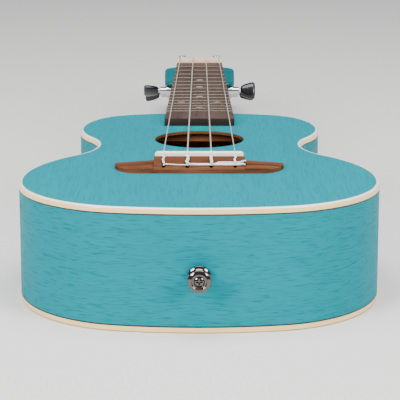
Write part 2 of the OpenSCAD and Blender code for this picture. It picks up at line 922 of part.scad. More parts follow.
module nut() {
  color("ivory") laid() difference() {
    translate([0, head_y, 0]) rotate([90, 0, 0]) linear_extrude(nut_t) {
      translate([-board_nut_w / 2, 0]) square([board_nut_w, nut_top - nut_end_r]);
      translate([nut_end_r - board_nut_w / 2, 0]) square([board_nut_w - 2 * nut_end_r, nut_top]);
      for (s = [-1, 1]) translate([s * (board_nut_w / 2 - nut_end_r), nut_top - nut_end_r])
        circle(nut_end_r);
    }
    for (i = [0:3]) {
      slot_w = string_d[i] + nut_slot_room;
      touch = post_touch(i);
      turn = atan2(nut_x(i) - touch[0], touch[1] - nut_y);
      translate([nut_x(i), nut_y + nut_t * 0.2, board_t + nut_action])
        rotate([-nut_slot_angle, 0, turn]) translate([-slot_w / 2, -2 * nut_t, 0])
          cube([slot_w, 4 * nut_t, far]);
      translate([nut_x(i) - slot_w / 2, nut_y - eps, board_t + nut_action])
        cube([slot_w, nut_t, far]);
    }
  }
}

// ---- Strings ----

// Middle of a winding's wire, from the post's axis
function winding_r(i) =
  (post_waist_r + string_d[i] / 2) / cos(180 / winding_steps) + winding_gap;

// Where a string meets its post
function post_touch(i) = from_head([
  string_side[i] * (post_x - winding_r(i)),
  near_post + string_row[i] * post_step,
  winding_z
]);

// Route of a string: over the tie block, through its hole, up to the saddle, nut and post
function string_route(i) =
  let (x = saddle_x(i), r = string_d[i] / 2, over = block_h + r + 0.05)
  concat(
    [
      [x, channel_start + 0.1, over - 0.1],
      [x, channel_start - 1.5, over],
      [x, bridge_y + block_edge + 1, over],
      [x, bridge_y + block_edge - 0.7, over - 0.1]
    ],
    [for (q = tie_path) [x, bridge_y + q[0], tie_hole_z + q[1]]],
    [
      [x, channel_start - 0.4, tie_hole_z],
      [x, channel_start + 0.7, tie_hole_z + 1.3],
      [x, channel_end - 0.25 - r, ledge_h + 0.9],
      [x, channel_end + 0.3, saddle_h - 0.8],
      [x, saddle_y - saddle_t * 0.4, saddle_h + r * 0.8],
      [x, saddle_y, saddle_h + r],
      [nut_x(i), nut_y + nut_t * 0.2, board_t + nut_action + r],
      post_touch(i)
    ]
  );

// The tied end, laid along the block and under the next string's loop
module tied_end(i) {
  r = string_d[i] / 2;
  run = i < 3 ? saddle_pitch - 1.2 : last_end_l;
  translate([saddle_x(i) + r + 0.1, bridge_y + 5 - r * 0.5, tie_hole_z + 1.6]) rotate([0, 90, 0])
    cylinder(r = r, h = run, $fn = 24);
}

module string(i) {
  color("white") {
    difference() {
      laid() tube(string_route(i), string_d[i] / 2, [1, 0, 0]);
      at_tuner(i) cylinder(r = winding_r(i) + string_d[i] / 2 + 0.08, h = far);
    }
    laid() tied_end(i);
  }
}

// Turns on the post, then up and through the post's hole
function winding_route(i) =
  let (r = winding_r(i), rise = string_d[i] + 0.06, steps = winding_steps,
       n = winding_turns * steps,
       top = winding_z + rise * winding_turns)
  concat(
    [for (k = [0:n])
      let (a = 180 - 360 * k / steps)
      [r * cos(a), r * sin(a), winding_z + rise * k / steps]],
    [for (k = [1:5])
      let (a = 180 - 15 * k)
      [r * cos(a), r * sin(a), top + (post_hole_z - top) * smooth(k / 6)]],
    [
      [r * cos(90), r * sin(90), post_hole_z - 0.1],
      [0, r * 0.6, post_hole_z],
      [0, -r - 2.5, post_hole_z]
    ]);

module winding(i) {
  color("white") at_tuner(i) tube(winding_route(i), string_d[i] / 2, [0, 0.01, 1], 6);
}

// ---- Tuners ----

module at_worm() {
  translate([0, worm_y, worm_z - head_t]) rotate([0, 90, 0]) children();
}

module housing_outside() {
  translate([0, 0, -head_t - housing_h]) cylinder(r = housing_r, h = housing_h);
  translate([-housing_r, worm_y, -head_t - housing_h]) cube([2 * housing_r, -worm_y, housing_h]);
  at_worm() translate([0, 0, barrel_start]) cylinder(r = barrel_r, h = barrel_end - barrel_start);
  at_worm() translate([0, 0, barrel_end]) cylinder(r = barrel_r - 1, h = spout_end - barrel_end);
  translate([0, ear_y, -head_t - ear_t]) cylinder(r = ear_r, h = ear_t);
  translate([-ear_r, 0, -head_t - ear_t]) cube([2 * ear_r, ear_y, ear_t]);
}

module tuner_housing(i) {
  color("silver") at_tuner(i) difference() {
    intersection() {
      housing_outside();
      translate([-far / 2, -far / 2, -head_t - far]) cube(far);
    }
    translate([0, 0, -head_t - housing_h - eps])
      cylinder(r = wheel_chamber_r, h = housing_h - housing_wall);
    translate([0, 0, -head_t - housing_h - eps]) cylinder(r = cap_r, h = cap_t + eps);
    translate([0, 0, -head_t - far / 2]) cylinder(r = post_bore_r, h = far);
    at_worm() translate([0, 0, barrel_start - eps])
      cylinder(r = worm_chamber_r, h = worm_half + 0.6 - barrel_start);
    at_worm() cylinder(r = shaft_r + running_gap, h = far);
    translate([0, ear_y, -far]) cylinder(r = tuner_screw_r, h = far);
  }
}

module wheel_tooth() {
  low = tooth_below + 0.15;
  polygon([
    [wheel_pitch_r - low, -wheel_tooth_w / 2 - low * tooth_slant],
    [wheel_pitch_r + tooth_above, -wheel_tooth_w / 2 + tooth_above * tooth_slant],
    [wheel_pitch_r + tooth_above, wheel_tooth_w / 2 - tooth_above * tooth_slant],
    [wheel_pitch_r - low, wheel_tooth_w / 2 + low * tooth_slant]
  ]);
}

module tuner_post(i) {
  wheel_z = worm_z - head_t - wheel_w / 2;
  color("silver") at_tuner(i) difference() {
    union() {
      translate([0, 0, wheel_z]) linear_extrude(wheel_w) {
        circle(wheel_pitch_r - tooth_below);
        // A tooth stands half a pitch from the worm's middle, between two turns of its thread
        for (k = [0:wheel_teeth - 1]) rotate(-90 + 360 * (k + 0.5) / wheel_teeth) wheel_tooth();
      }
      translate([0, 0, wheel_z + wheel_w - eps])
        cylinder(r = post_r, h = winding_z - 0.8 - wheel_z - wheel_w + eps);
      translate([0, 0, winding_z - 1]) cylinder(r = post_waist_r, h = post_rise - winding_z);
      translate([0, 0, post_hole_z + 1.4]) cylinder(r = post_r, h = post_rise - post_hole_z - 1.8);
      translate([0, 0, post_rise - 0.4 - eps]) cylinder(r1 = post_r, r2 = post_r - 0.4, h = 0.4);
    }
    translate([0, 0, post_hole_z]) rotate([90, 0, 0]) translate([0, 0, -far / 2])
      cylinder(r = post_hole_r, h = far);
  }
}

// The worm's thread: four-sided rings along a right-handed helix about Z
module worm_thread() {
  steps = 14;
  n = worm_turns * steps;
  low = worm_core_r - 0.12;
  high = worm_pitch_r + tooth_above;
  low_w = worm_tooth_w / 2 + (worm_pitch_r - low) * tooth_slant;
  high_w = worm_tooth_w / 2 - tooth_above * tooth_slant;
  ring = [[low, -low_w], [high, -high_w], [high, high_w], [low, low_w]];
  points = [for (k = [0:n], q = ring)
    let (a = 360 * k / steps, z = worm_pitch * (k / steps - worm_turns / 2))
    [q[0] * cos(a), q[0] * sin(a), z + q[1]]];
  faces = [for (f = tube_faces(n + 1, len(ring))) [for (j = [len(f) - 1:-1:0]) f[j]]];
  polyhedron(points = points, faces = faces, convexity = 8);
}

module tuner_worm(i) {
  color("silver") at_tuner(i) at_worm() {
    difference() {
      union() {
        translate([0, 0, barrel_start])
          cylinder(r = worm_chamber_r - running_gap, h = collar_end - barrel_start);
        translate([0, 0, barrel_start]) cylinder(r = worm_core_r, h = worm_half + 0.5 - barrel_start);
        cylinder(r = shaft_r, h = button_end - shaft_set_back);
        rotate(90 - 180 * worm_turns) worm_thread();
      }
      translate([0, 0, button_end - button_screw_l - 1]) cylinder(r = button_screw_r, h = far);
    }
  }
}

module tuner_button(i) {
  round_r = button_t / 2;
  near = button_w / 2 - round_r - button_taper;
  out = button_w / 2 - round_r;
  color("black") at_tuner(i) at_worm() rotate(button_turns[i]) difference() {
    hull() for (s = [-1, 1]) {
      translate([0, s * near, button_start + round_r]) sphere(round_r, $fn = 32);
      translate([0, s * out, button_end - round_r]) sphere(round_r, $fn = 32);
    }
    cylinder(r = shaft_r, h = button_end - shaft_set_back);
    cylinder(r = button_screw_r, h = far);
    translate([0, 0, button_end - button_seat])
      cylinder(r = button_head_r + screw_head_gap, h = far);
  }
}

module button_screw(i) {
  color("silver") at_tuner(i) at_worm() rotate(button_turns[i]) difference() {
    union() {
      translate([0, 0, button_end - button_screw_l])
        cylinder(r = button_screw_r, h = button_screw_l - button_seat + eps);
      translate([0, 0, button_end - button_seat]) cylinder(r = button_head_r, h = 1);
    }
    translate([-screw_slot_w / 2, -far / 2, button_end - button_seat + 0.5])
      cube([screw_slot_w, far, far]);
  }
}

module tuner_bushings() {
  color("silver") for (i = [0:3]) {
    at_tuner(i) difference() {
      union() {
        translate([0, 0, -bushing_l]) cylinder(r = bushing_r, h = bushing_l);
        cylinder(r = bushing_flange_r, h = bushing_flange_t);
      }
      translate([0, 0, -far / 2]) cylinder(r = post_bore_r, h = far);
    }
  }
}

module tuner_caps() {
  color("silver") for (i = [0:3]) {
    at_tuner(i) translate([0, 0, -head_t - housing_h]) cylinder(r = cap_r, h = cap_t);
  }
}

module tuner_screws() {
  color("silver") for (i = [0:3]) {
    at_tuner(i) translate([0, ear_y, -head_t]) difference() {
      union() {
        translate([0, 0, -ear_t]) cylinder(r = tuner_screw_r, h = ear_t + tuner_screw_l - 0.2);
        translate([0, 0, -ear_t - 1]) cylinder(r1 = 1.4, r2 = 1.9, h = 1);
      }
      translate([-screw_slot_w / 2, -far / 2, -ear_t - 2]) cube([screw_slot_w, far, 1.5]);
      translate([-far / 2, -screw_slot_w / 2, -ear_t - 2]) cube([far, screw_slot_w, 1.5]);
    }
  }
}

// ---- Strap button ----

module strap_washer() {
  color("dimgray") laid() strap_axis() difference() {
    cylinder(r = washer_r, h = washer_t);
    translate([0, 0, -1]) cylinder(r = strap_screw_r, h = washer_t + 2);
  }
}

module strap_side() {
  groove_r = (strap_l - 3.6) / 2;
  difference() {
    intersection() {
      square([strap_r, strap_l]);
      translate([0, strap_l - strap_dome_r]) circle(strap_dome_r);
    }
    translate([strap_waist_r + groove_r, 1.1 + groove_r]) circle(groove_r);
    translate([0, strap_l - strap_dish_d]) square([strap_dish_r, far]);
  }
}

module strap_button() {
  color("silver") laid() strap_axis() translate([0, 0, washer_t]) difference() {
    rotate_extrude() strap_side();
    translate([0, 0, -1]) cylinder(r = strap_screw_r, h = far);
    translate([0, 0, strap_l - strap_dish_d - screw_head_h])
      cylinder(r1 = strap_screw_r, r2 = screw_head_r, h = screw_head_h);
  }
}

// Side view of the screw's domed top
module screw_dome() {
  intersection() {
    square([screw_head_r, screw_dome_h]);
    translate([0, screw_dome_h - screw_dome_r]) circle(screw_dome_r);
  }
}

module strap_screw() {
  head_z = washer_t + strap_l - strap_dish_d;
  color("silver") laid() strap_axis() difference() {
    union() {
      translate([0, 0, -screw_reach - rib_t]) cylinder(r = strap_screw_r, h = head_z + screw_reach);
      translate([0, 0, head_z - screw_head_h])
        cylinder(r1 = strap_screw_r, r2 = screw_head_r, h = screw_head_h);
      translate([0, 0, head_z]) rotate_extrude() screw_dome();
    }
    for (a = [0, 90]) {
      rotate(a) translate([-screw_cross_l / 2, -screw_cross_w / 2, head_z - screw_cross_d])
        cube([screw_cross_l, screw_cross_w, far]);
    }
  }
}

soundboard();
back_plate();
left_rib();
right_rib();
top_binding();
back_binding();
top_purfling();
back_purfling();
top_lining();
back_lining();
tail_block();
neck_block();
upper_brace();
lower_brace();
fan_braces();
back_braces();
back_seam_strip();
bridge_patch();
bridge();
saddle();
neck();
headstock();
fingerboard();
frets();
fret_markers();
nut();
string(0);  // g_string
string(1);  // c_string
string(2);  // e_string
string(3);  // a_string
winding(0);  // g_winding
winding(1);  // c_winding
winding(2);  // e_winding
winding(3);  // a_winding
tuner_housing(0);  // g_tuner_housing
tuner_housing(1);  // c_tuner_housing
tuner_housing(2);  // e_tuner_housing
tuner_housing(3);  // a_tuner_housing
tuner_post(0);  // g_tuner_post
tuner_post(1);  // c_tuner_post
tuner_post(2);  // e_tuner_post
tuner_post(3);  // a_tuner_post
tuner_worm(0);  // g_tuner_worm
tuner_worm(1);  // c_tuner_worm
tuner_worm(2);  // e_tuner_worm
tuner_worm(3);  // a_tuner_worm
tuner_button(0);  // g_tuner_button
tuner_button(1);  // c_tuner_button
tuner_button(2);  // e_tuner_button
tuner_button(3);  // a_tuner_button
button_screw(0);  // g_button_screw
button_screw(1);  // c_button_screw
button_screw(2);  // e_button_screw
button_screw(3);  // a_button_screw
tuner_bushings();
tuner_caps();
tuner_screws();
strap_button();
strap_washer();
strap_screw();
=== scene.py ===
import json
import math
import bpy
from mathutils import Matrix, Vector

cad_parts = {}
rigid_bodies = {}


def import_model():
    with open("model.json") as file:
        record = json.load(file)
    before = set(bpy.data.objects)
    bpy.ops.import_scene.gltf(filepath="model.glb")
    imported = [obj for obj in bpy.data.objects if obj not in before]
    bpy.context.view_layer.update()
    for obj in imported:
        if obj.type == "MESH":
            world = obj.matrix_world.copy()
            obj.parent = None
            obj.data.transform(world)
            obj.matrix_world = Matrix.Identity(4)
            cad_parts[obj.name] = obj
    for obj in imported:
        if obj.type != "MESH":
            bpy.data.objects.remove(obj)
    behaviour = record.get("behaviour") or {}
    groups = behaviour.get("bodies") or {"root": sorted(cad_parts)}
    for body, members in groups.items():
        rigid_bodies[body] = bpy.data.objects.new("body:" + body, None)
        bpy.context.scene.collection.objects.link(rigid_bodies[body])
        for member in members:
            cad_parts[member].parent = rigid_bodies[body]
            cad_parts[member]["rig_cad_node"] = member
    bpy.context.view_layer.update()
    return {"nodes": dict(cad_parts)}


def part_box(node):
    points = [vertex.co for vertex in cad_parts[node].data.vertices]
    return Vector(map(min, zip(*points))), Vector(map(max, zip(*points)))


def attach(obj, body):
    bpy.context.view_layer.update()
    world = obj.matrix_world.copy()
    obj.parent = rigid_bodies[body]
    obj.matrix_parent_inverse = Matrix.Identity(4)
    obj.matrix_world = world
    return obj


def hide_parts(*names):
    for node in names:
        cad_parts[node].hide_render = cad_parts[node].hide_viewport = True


bl_info = {
    "name": "Concert Ukulele",
    "version": (1, 0, 0),
    "blender": (4, 5, 0),
    "location": "3D View > Sidebar > Ukulele",
    "description": "Dresses the ukulele's frame with its stained wood, trim, strings and tuners",
    "category": "Object",
}

import bpy
from bpy.props import FloatProperty, FloatVectorProperty, IntProperty, PointerProperty
from bpy.types import Operator, Panel, PropertyGroup
from mathutils import Vector

for leftover in list(bpy.data.objects):
    bpy.data.objects.remove(leftover)
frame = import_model()
NODES = frame["nodes"]

MM = 0.001
STRINGS = ("g", "c", "e", "a")
SIDE = {"g": -1, "c": -1, "e": 1, "a": 1}
ROW = {"g": 0, "c": 1, "e": 1, "a": 0}
# How each tuner button happens to stand, in degrees
BUTTON_TURN = {"g": 65, "c": 20, "e": -35, "a": -8}
# Edges sharper than this stay crisp, and are rounded where a piece has a bevel
CREASE = math.radians(32)
# Faces that differ by less than this are made one before a bevel
FLAT = math.radians(0.4)
# Points of the frame's meshes that are closer than this are one point
SEAM = 0.002 * MM


# ---- Properties ----

def size(name, mm, description):
    """A length, given in millimetres."""
    return FloatProperty(name=name, description=description, default=mm * MM, min=0, unit="LENGTH",
                         precision=5)


def linear(channel):
    return channel / 12.92 if channel <= 0.04045 else ((channel + 0.055) / 1.055) ** 2.4


def tint(name, rgb, description):
    """A colour, given as the eight-bit values a colour picker shows."""
    return FloatVectorProperty(name=name, description=description, subtype="COLOR", size=3, min=0,
                               max=1, default=[linear(c / 255) for c in rgb])


class UkuleleBody(PropertyGroup):
    length: size("Length", 290, "Length of the body on its centre line")
    lower_bout: size("Lower bout", 207.4, "Widest width of the lower bout")
    waist: size("Waist", 128, "Width at the waist")
    upper_bout: size("Upper bout", 157, "Widest width of the upper bout")
    lower_at: size("Lower bout at", 76, "Distance of the lower bout's widest place from the tail")
    waist_at: size("Waist at", 176, "Distance of the waist from the tail")
    upper_at: size("Upper bout at", 232, "Distance of the upper bout's widest place from the tail")
    tail_radius: size("Tail curve", 260, "Radius of the flat curve at the tail")
    lower_corner: size("Lower corner", 70, "Radius of the lower corners")
    lower_side: size("Lower side", 98, "Radius of the lower bout's sides")
    upper_corner: size("Upper corner", 38, "Radius of the upper corners")
    neck_end: size("Neck end curve", 160, "Radius of the flat curve at the neck end")
    tail_depth: size("Depth at tail", 70, "Depth of the body at the tail")
    neck_depth: size("Depth at neck", 61, "Depth of the body at the neck")
    rib: size("Rib", 1.8, "Thickness of the ribs and of the binding")
    binding: size("Binding height", 3.2, "Height of each binding strip")
    edge_round: size("Edge radius", 1.2, "Radius of the binding's outer edge")


class UkuleleBridge(PropertyGroup):
    width: size("Width", 100.4, "Width of the bridge, across the strings")
    tail_side: size("Tail side", 89, "Distance of the bridge from the tail")
    length: size("Length", 25, "Length of the bridge, along the strings")
    wing_tail: size("Wing at tail side", 3.1, "Thickness of the wings' tail side at the block")
    wing_neck: size("Wing at neck side", 3.0, "Thickness of the wings' neck side at the block")
    wing_drop: size("Wing drop", 1.3, "How much thinner the wings' tips are than their roots")
    tail_corner: size("Tail corner width", 14, "Width of the corners on the tail side")
    tail_corner_length: size("Tail corner length", 19, "Length of the corners on the tail side")
    neck_corner: size("Neck corners", 3, "Radius of the corners on the neck side")
    block: size("Block", 53.6, "Width of the raised block")
    block_height: size("Block height", 7.8, "Height of the tie block")
    hole: size("String hole", 1.1, "Radius of the string holes")
    hole_height: size("Hole height", 3.6, "Height of the string holes above the soundboard")
    saddle_at: size("Saddle at", 107, "Distance of the saddle from the tail")
    saddle: size("Saddle", 2.8, "Thickness of the saddle")
    saddle_width: size("Saddle width", 52.8, "Width of the saddle")
    saddle_top: size("Saddle top", 9.7, "Height of the saddle above the soundboard")


class UkuleleNeck(PropertyGroup):
    nut_at: size("Nut at", 487, "Distance of the nut from the tail")
    nut: size("Nut", 4.2, "Thickness of the nut")
    nut_slot: size("Nut slots", 6.7, "Height of the strings at the nut")
    board_nut: size("Width at nut", 35.6, "Width of the fingerboard at the nut")
    board_end: size("Width at body", 46.4, "Width of the fingerboard over the body")
    board_at: size("Board end at", 240, "Distance of the fingerboard's end from the tail")
    depth_nut: size("Depth at nut", 12.5, "Depth of the neck under the fingerboard at the nut")
    depth_heel: size("Depth at heel", 14.5, "Depth of the neck under the fingerboard at the heel")
    heel_reach: size("Heel reach", 34, "Reach of the heel from the body")
    heel_foot: size("Heel foot", 24, "Width of the heel at its foot")
    heel_rise: size("Heel rise", 4, "Distance of the heel's foot from the back")
    voxel: size("Carving detail", 0.9, "Finest detail in the carved neck")


class UkuleleHead(PropertyGroup):
    angle: FloatProperty(name="Angle", description="Angle of the headstock below the fingerboard",
                         default=math.radians(12.5), subtype="ANGLE")
    face: size("Face height", 1.5, "Height of the headstock's face at the nut")
    thickness: size("Thickness", 13.6, "Thickness of the headstock")
    length: size("Length", 112, "Length of the headstock")
    near: size("Near width", 56.6, "Width at the near tuners")
    far: size("Far width", 58.4, "Width at the far tuners")
    flare: size("Flare", 30, "Distance over which the headstock widens from the nut")
    corner: size("Corners", 9, "Radius of the corners")
    crest: size("Crest", 3, "Rise of the end's middle")
    edge: size("Edge radius", 3.4, "Radius of the headstock's edges")


class UkuleleStrings(PropertyGroup):
    diameters: FloatVectorProperty(name="Diameters", description="Diameters of the four strings",
                                   size=4, min=0, unit="LENGTH", precision=5,
                                   default=[d * MM for d in (0.66, 0.94, 0.82, 0.62)])
    saddle_pitch: size("Pitch at saddle", 14, "Distance between strings at the saddle")
    nut_pitch: size("Pitch at nut", 10.4, "Distance between strings at the nut")
    twist: FloatProperty(name="Twist", description="Turns that a tied string makes about itself",
                         default=1.75, min=0)
    winds: IntProperty(name="Winds", description="Turns on each post", default=3, min=1)
    wind_gap: size("Winding gap", 0.01, "Gap between a post and its turns")
    landing: size("Landing gap", 0.06, "Room for the turns to pass a string's end")


class UkuleleTuners(PropertyGroup):
    post_out: size("Post out", 14, "Distance of the posts from the centre line")
    near: size("Near posts", 35, "Distance of the near posts from the nut")
    step: size("Post step", 40, "Distance from the near posts to the far posts")
    post: size("Post", 2.6, "Radius of the post's waist")
    bushing: size("Bushing", 4.2, "Radius of the bushings' sleeves")
    shaft: size("Shaft", 1.6, "Radius of the shaft in the button")
    screw: size("Button screw", 0.8, "Radius of the button's screw")
    screw_head_height: size("Screw head", 1, "Height of the button screw's head")
    screw_recess: size("Screw recess", 2.1, "Radius of the recess for the screw's head")
    wind_height: size("Winding height", 2.4, "Height of the first turn above the headstock")
    hole_height: size("Hole height", 7.4, "Height of the post's hole above the headstock")
    button_length: size("Button length", 12, "Length of the button")
    button_width: size("Button width", 15, "Width of the button at its outer end")
    button_root: size("Button root", 8.4, "Width of the button at its root")
    button_thickness: size("Button thickness", 7, "Thickness of the button at its outer end")
    button_thin: size("Button root thickness", 6, "Thickness of the button at its root")


class UkuleleColours(PropertyGroup):
    stain: tint("Stain", (0, 128, 140), "The turquoise stain")
    stain_deep: tint("Deep stain", (0, 82, 95), "The stain in the open grain")
    binding: tint("Binding", (254, 214, 146), "The cream binding")
    line: tint("Line", (12, 11, 11), "The dark line beside the binding")
    rosewood: tint("Rosewood", (116, 70, 45), "The bridge")
    rosewood_dark: tint("Rosewood streaks", (40, 19, 12), "Dark streaks in the bridge")
    board: tint("Fingerboard", (80, 62, 54), "The fingerboard")
    board_dark: tint("Fingerboard streaks", (40, 26, 20), "Dark streaks in the fingerboard")
    mahogany: tint("Mahogany", (150, 96, 62), "Blocks and the upper brace")
    spruce: tint("Spruce", (214, 182, 132), "Linings and braces")
    # A painted highlight: the binding's upper faces are painted near-white where the light catches
    # them.
    binding_highlight: tint("Binding highlight", (255, 252, 244), "Painted highlight on the binding's upper side")
    bone: tint("Bone", (252, 242, 220), "Saddle and nut")
    # A painted highlight: the saddle's top is painted near-white.
    bone_highlight: tint("Bone highlight", (255, 255, 252), "Painted highlight on the saddle's top")
    nylon: tint("Nylon", (200, 192, 180), "Strings, clear where they are taut")
    nylon_tied: tint("Tied nylon", (240, 238, 236), "Strings where they are tied")
    chrome: tint("Chrome", (208, 209, 212), "Tuner cases, posts and strap button")
    # Chrome painted dark grey: a painted dark reflection, so the bright floor shows only dimly in
    # it.
    darkened_chrome: tint("Darkened chrome", (100, 95, 92), "Strap button")
    # Fret wire painted dark grey: a painted dark reflection of the surroundings.
    fret: tint("Fret wire", (96, 86, 78), "Frets")
    dot: tint("Dots", (176, 166, 152), "Position dots")
    nut: tint("Nut", (232, 204, 178), "The nut")
    plastic: tint("Button", (14, 14, 16), "Tuner buttons")
    felt: tint("Felt", (18, 18, 20), "Washer of the strap button")
    floor: tint("Floor", (226, 225, 221), "The studio floor")


class UkuleleSettings(PropertyGroup):
    body: PointerProperty(type=UkuleleBody)
    bridge: PointerProperty(type=UkuleleBridge)
    neck: PointerProperty(type=UkuleleNeck)
    head: PointerProperty(type=UkuleleHead)
    strings: PointerProperty(type=UkuleleStrings)
    tuners: PointerProperty(type=UkuleleTuners)
    colours: PointerProperty(type=UkuleleColours)


def settings():
    return bpy.context.scene.ukulele


# ---- Frames ----

def taper():
    body = settings().body
    return math.atan2(body.tail_depth - body.neck_depth, body.length)


def laid(p):
    """A point of the instrument, whose soundboard is at height 0, laid down on its back."""
    body, a = settings().body, taper()
    x, y, z = p
    return Vector((x, y * math.cos(a) + (z + body.tail_depth) * math.sin(a) - body.length / 2,
                   -y * math.sin(a) + (z + body.tail_depth) * math.cos(a)))


def on_back(p):
    return Vector((p[0], p[1] - settings().body.length / 2, p[2]))


def head_start():
    return settings().neck.nut_at + settings().neck.nut


def on_head(p):
    """A point measured on the headstock's face, in the instrument's frame."""
    head = settings().head
    c, s = math.cos(head.angle), math.sin(head.angle)
    return Vector((p[0], head_start() + p[1] * c + p[2] * s, head.face - p[1] * s + p[2] * c))


def at_tuner(key, p):
    """A point measured from a tuner's post, its button towards +X, in the instrument's frame."""
    t = settings().tuners
    return on_head((SIDE[key] * (t.post_out + p[0]), t.near + ROW[key] * t.step + p[1], p[2]))


def smooth(t):
    t = min(1.0, max(0.0, t))
    return t * t * (3 - 2 * t)


def mix(a, b, t):
    return a + (b - a) * t


def quarter(steps, first=0):
    """Angles from 0 to a right angle, in equal steps."""
    return [math.pi / 2 * k / steps for k in range(first, steps + 1)]


def turned(y, z, angle):
    """A point of the plane across a shaft, turned about it."""
    return (y * math.cos(angle) - z * math.sin(angle), y * math.sin(angle) + z * math.cos(angle))


def inside_out(faces):
    return [tuple(reversed(face)) for face in faces]


# ---- Body outline ----

def crossing(c1, r1, c2, r2, side):
    """Where two circles cross, to the right (side 1) or left of the line between their centres."""
    d = (c2 - c1).length
    along = (r1 * r1 - r2 * r2 + d * d) / (2 * d)
    off = math.sqrt(max(0.0, r1 * r1 - along * along))
    u = (c2 - c1) / d
    return c1 + along * u + side * off * Vector((u.y, -u.x))


def bearing(v):
    return math.atan2(v.y, v.x)


def body_arcs():
    """The right half of the outline: centre, radius, first and last angle, bulge."""
    b = settings().body
    tail = Vector((0, b.tail_radius))
    lower = Vector((b.lower_bout / 2 - b.lower_side, b.lower_at))
    inward, rise = b.waist / 2 - lower.x, b.waist_at - b.lower_at
    waist_r = (inward ** 2 + rise ** 2 - b.lower_side ** 2) / (2 * (b.lower_side - inward))
    waist = Vector((b.waist / 2 + waist_r, b.waist_at))
    inward, rise = waist.x - b.upper_bout / 2, b.upper_at - b.waist_at
    upper_r = (inward ** 2 + rise ** 2 - waist_r ** 2) / (2 * (waist_r - inward))
    upper = Vector((b.upper_bout / 2 - upper_r, b.upper_at))
    end = Vector((0, b.length - b.neck_end))
    corner1 = crossing(lower, b.lower_side - b.lower_corner,
                       tail, b.tail_radius - b.lower_corner, 1)
    corner2 = crossing(upper, upper_r - b.upper_corner, end, b.neck_end - b.upper_corner, -1)
    turns = [-math.pi / 2, bearing(corner1 - tail), bearing(corner1 - lower),
             bearing(waist - lower), bearing(upper - waist), bearing(corner2 - upper),
             bearing(corner2 - end), math.pi / 2]
    return [
        (tail, b.tail_radius, turns[0], turns[1], 1),
        (corner1, b.lower_corner, turns[1], turns[2], 1),
        (lower, b.lower_side, turns[2], turns[3], 1),
        (waist, waist_r, turns[3] + math.pi, turns[4], -1),
        (upper, upper_r, turns[4] - math.pi, turns[5], 1),
        (corner2, b.upper_corner, turns[5], turns[6], 1),
        (end, b.neck_end, turns[6], turns[7], 1),
    ]


def outline(inset):
    """The body's edge, moved inwards, as one closed loop from the tail round to the right."""
    step = math.radians(2)
    right = []
    for centre, radius, first, last, bulge in body_arcs():
        n = math.ceil(abs(last - first) / step)
        for i in range(n):
            t = first + (last - first) * i / n
            r = radius - bulge * inset
            right.append((centre.x + r * math.cos(t), centre.y + r * math.sin(t)))
    right.append((0, settings().body.length - inset))
    return right + [(-x, y) for x, y in reversed(right[1:-1])]


# ---- Meshes ----

def rings(loops, closed=False):
    """Points and faces of a skin over loops that all have the same number of points."""
    n, count = len(loops[0]), len(loops)
    points = [p for loop in loops for p in loop]
    faces = []
    for i in range(count if closed else count - 1):
        a, b = i * n, (i + 1) % count * n
        faces += [(a + k, a + (k + 1) % n, b + (k + 1) % n, b + k) for k in range(n)]
    if not closed:
        faces += [tuple(range(n - 1, -1, -1)), tuple(range((count - 1) * n, count * n))]
    return points, faces


def along(controls, per_span=8):
    """A smooth path through the control points."""
    c = [Vector(p) for p in controls]
    c = [2 * c[0] - c[1]] + c + [2 * c[-1] - c[-2]]
    path = []
    for i in range(1, len(c) - 2):
        p0, p1, p2, p3 = c[i - 1:i + 3]
        for k in range(per_span):
            t = k / per_span
            path.append(0.5 * (2 * p1 + (p2 - p0) * t + (2 * p0 - 5 * p1 + 4 * p2 - p3) * t * t
                               + (3 * p1 - p0 - 3 * p2 + p3) * t * t * t))
    return path + [c[-2]]


def tube(path, radius, sides=10):
    """A round tube that doesn't twist, as loops of points."""
    loops, normal = [], None
    for i, p in enumerate(path):
        t = (path[min(i + 1, len(path) - 1)] - path[max(i - 1, 0)]).normalized()
        if normal is None:
            normal = t.orthogonal().normalized()
        normal = (normal - t * normal.dot(t)).normalized()
        other = t.cross(normal)
        loops.append([p + radius * (normal * math.cos(2 * math.pi * k / sides)
                                    + other * math.sin(2 * math.pi * k / sides))
                      for k in range(sides)])
    return loops


def add(name, points, faces, finish, slot, body="instrument", stands_for=(), place=laid):
    """Make a piece from points in its own frame and fix it to a body."""
    mesh = bpy.data.meshes.new(name)
    mesh.from_pydata([place(p) for p in points], [], faces)
    mesh.validate()
    mesh.polygons.foreach_set("use_smooth", [True] * len(mesh.polygons))
    mesh.materials.append(finish)
    obj = bpy.data.objects.new(name, mesh)
    bpy.context.scene.collection.objects.link(obj)
    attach(obj, body)
    if stands_for:
        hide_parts(*stands_for)
    return obj


def carve(obj, tool):
    """Cut one object's shape out of another and keep the result."""
    before = len(evaluated(obj).polygons)
    modifier(obj, "BOOLEAN", operation="DIFFERENCE", solver="EXACT", object=tool)
    carved = evaluated(obj)
    if len(carved.polygons) in (0, before):
        raise RuntimeError(f"{tool.name} did not cut {obj.name}")
    obj.modifiers.clear()
    obj.data = carved


def carve_skin(obj, points, faces, place=laid):
    """Cut a closed skin out of an object."""
    mesh = bpy.data.meshes.new("cutter")
    mesh.from_pydata([place(p) for p in points], [], faces)
    tool = bpy.data.objects.new("cutter", mesh)
    bpy.context.scene.collection.objects.link(tool)
    carve(obj, tool)
    bpy.data.objects.remove(tool)


def drill(obj, bores, sides=20, place=laid):
    """Drill round holes; a bore is its radius at points along its axis, in order."""
    for bore in bores:
        axis = (bore[-1][0] - bore[0][0]).normalized()
        across = axis.orthogonal().normalized()
        other = axis.cross(across)
        turns = [2 * math.pi * k / sides for k in range(sides)]
        loops = [[p + r * (across * math.cos(a) + other * math.sin(a)) for a in turns]
                 for p, r in bore]
        carve_skin(obj, *rings(loops), place)


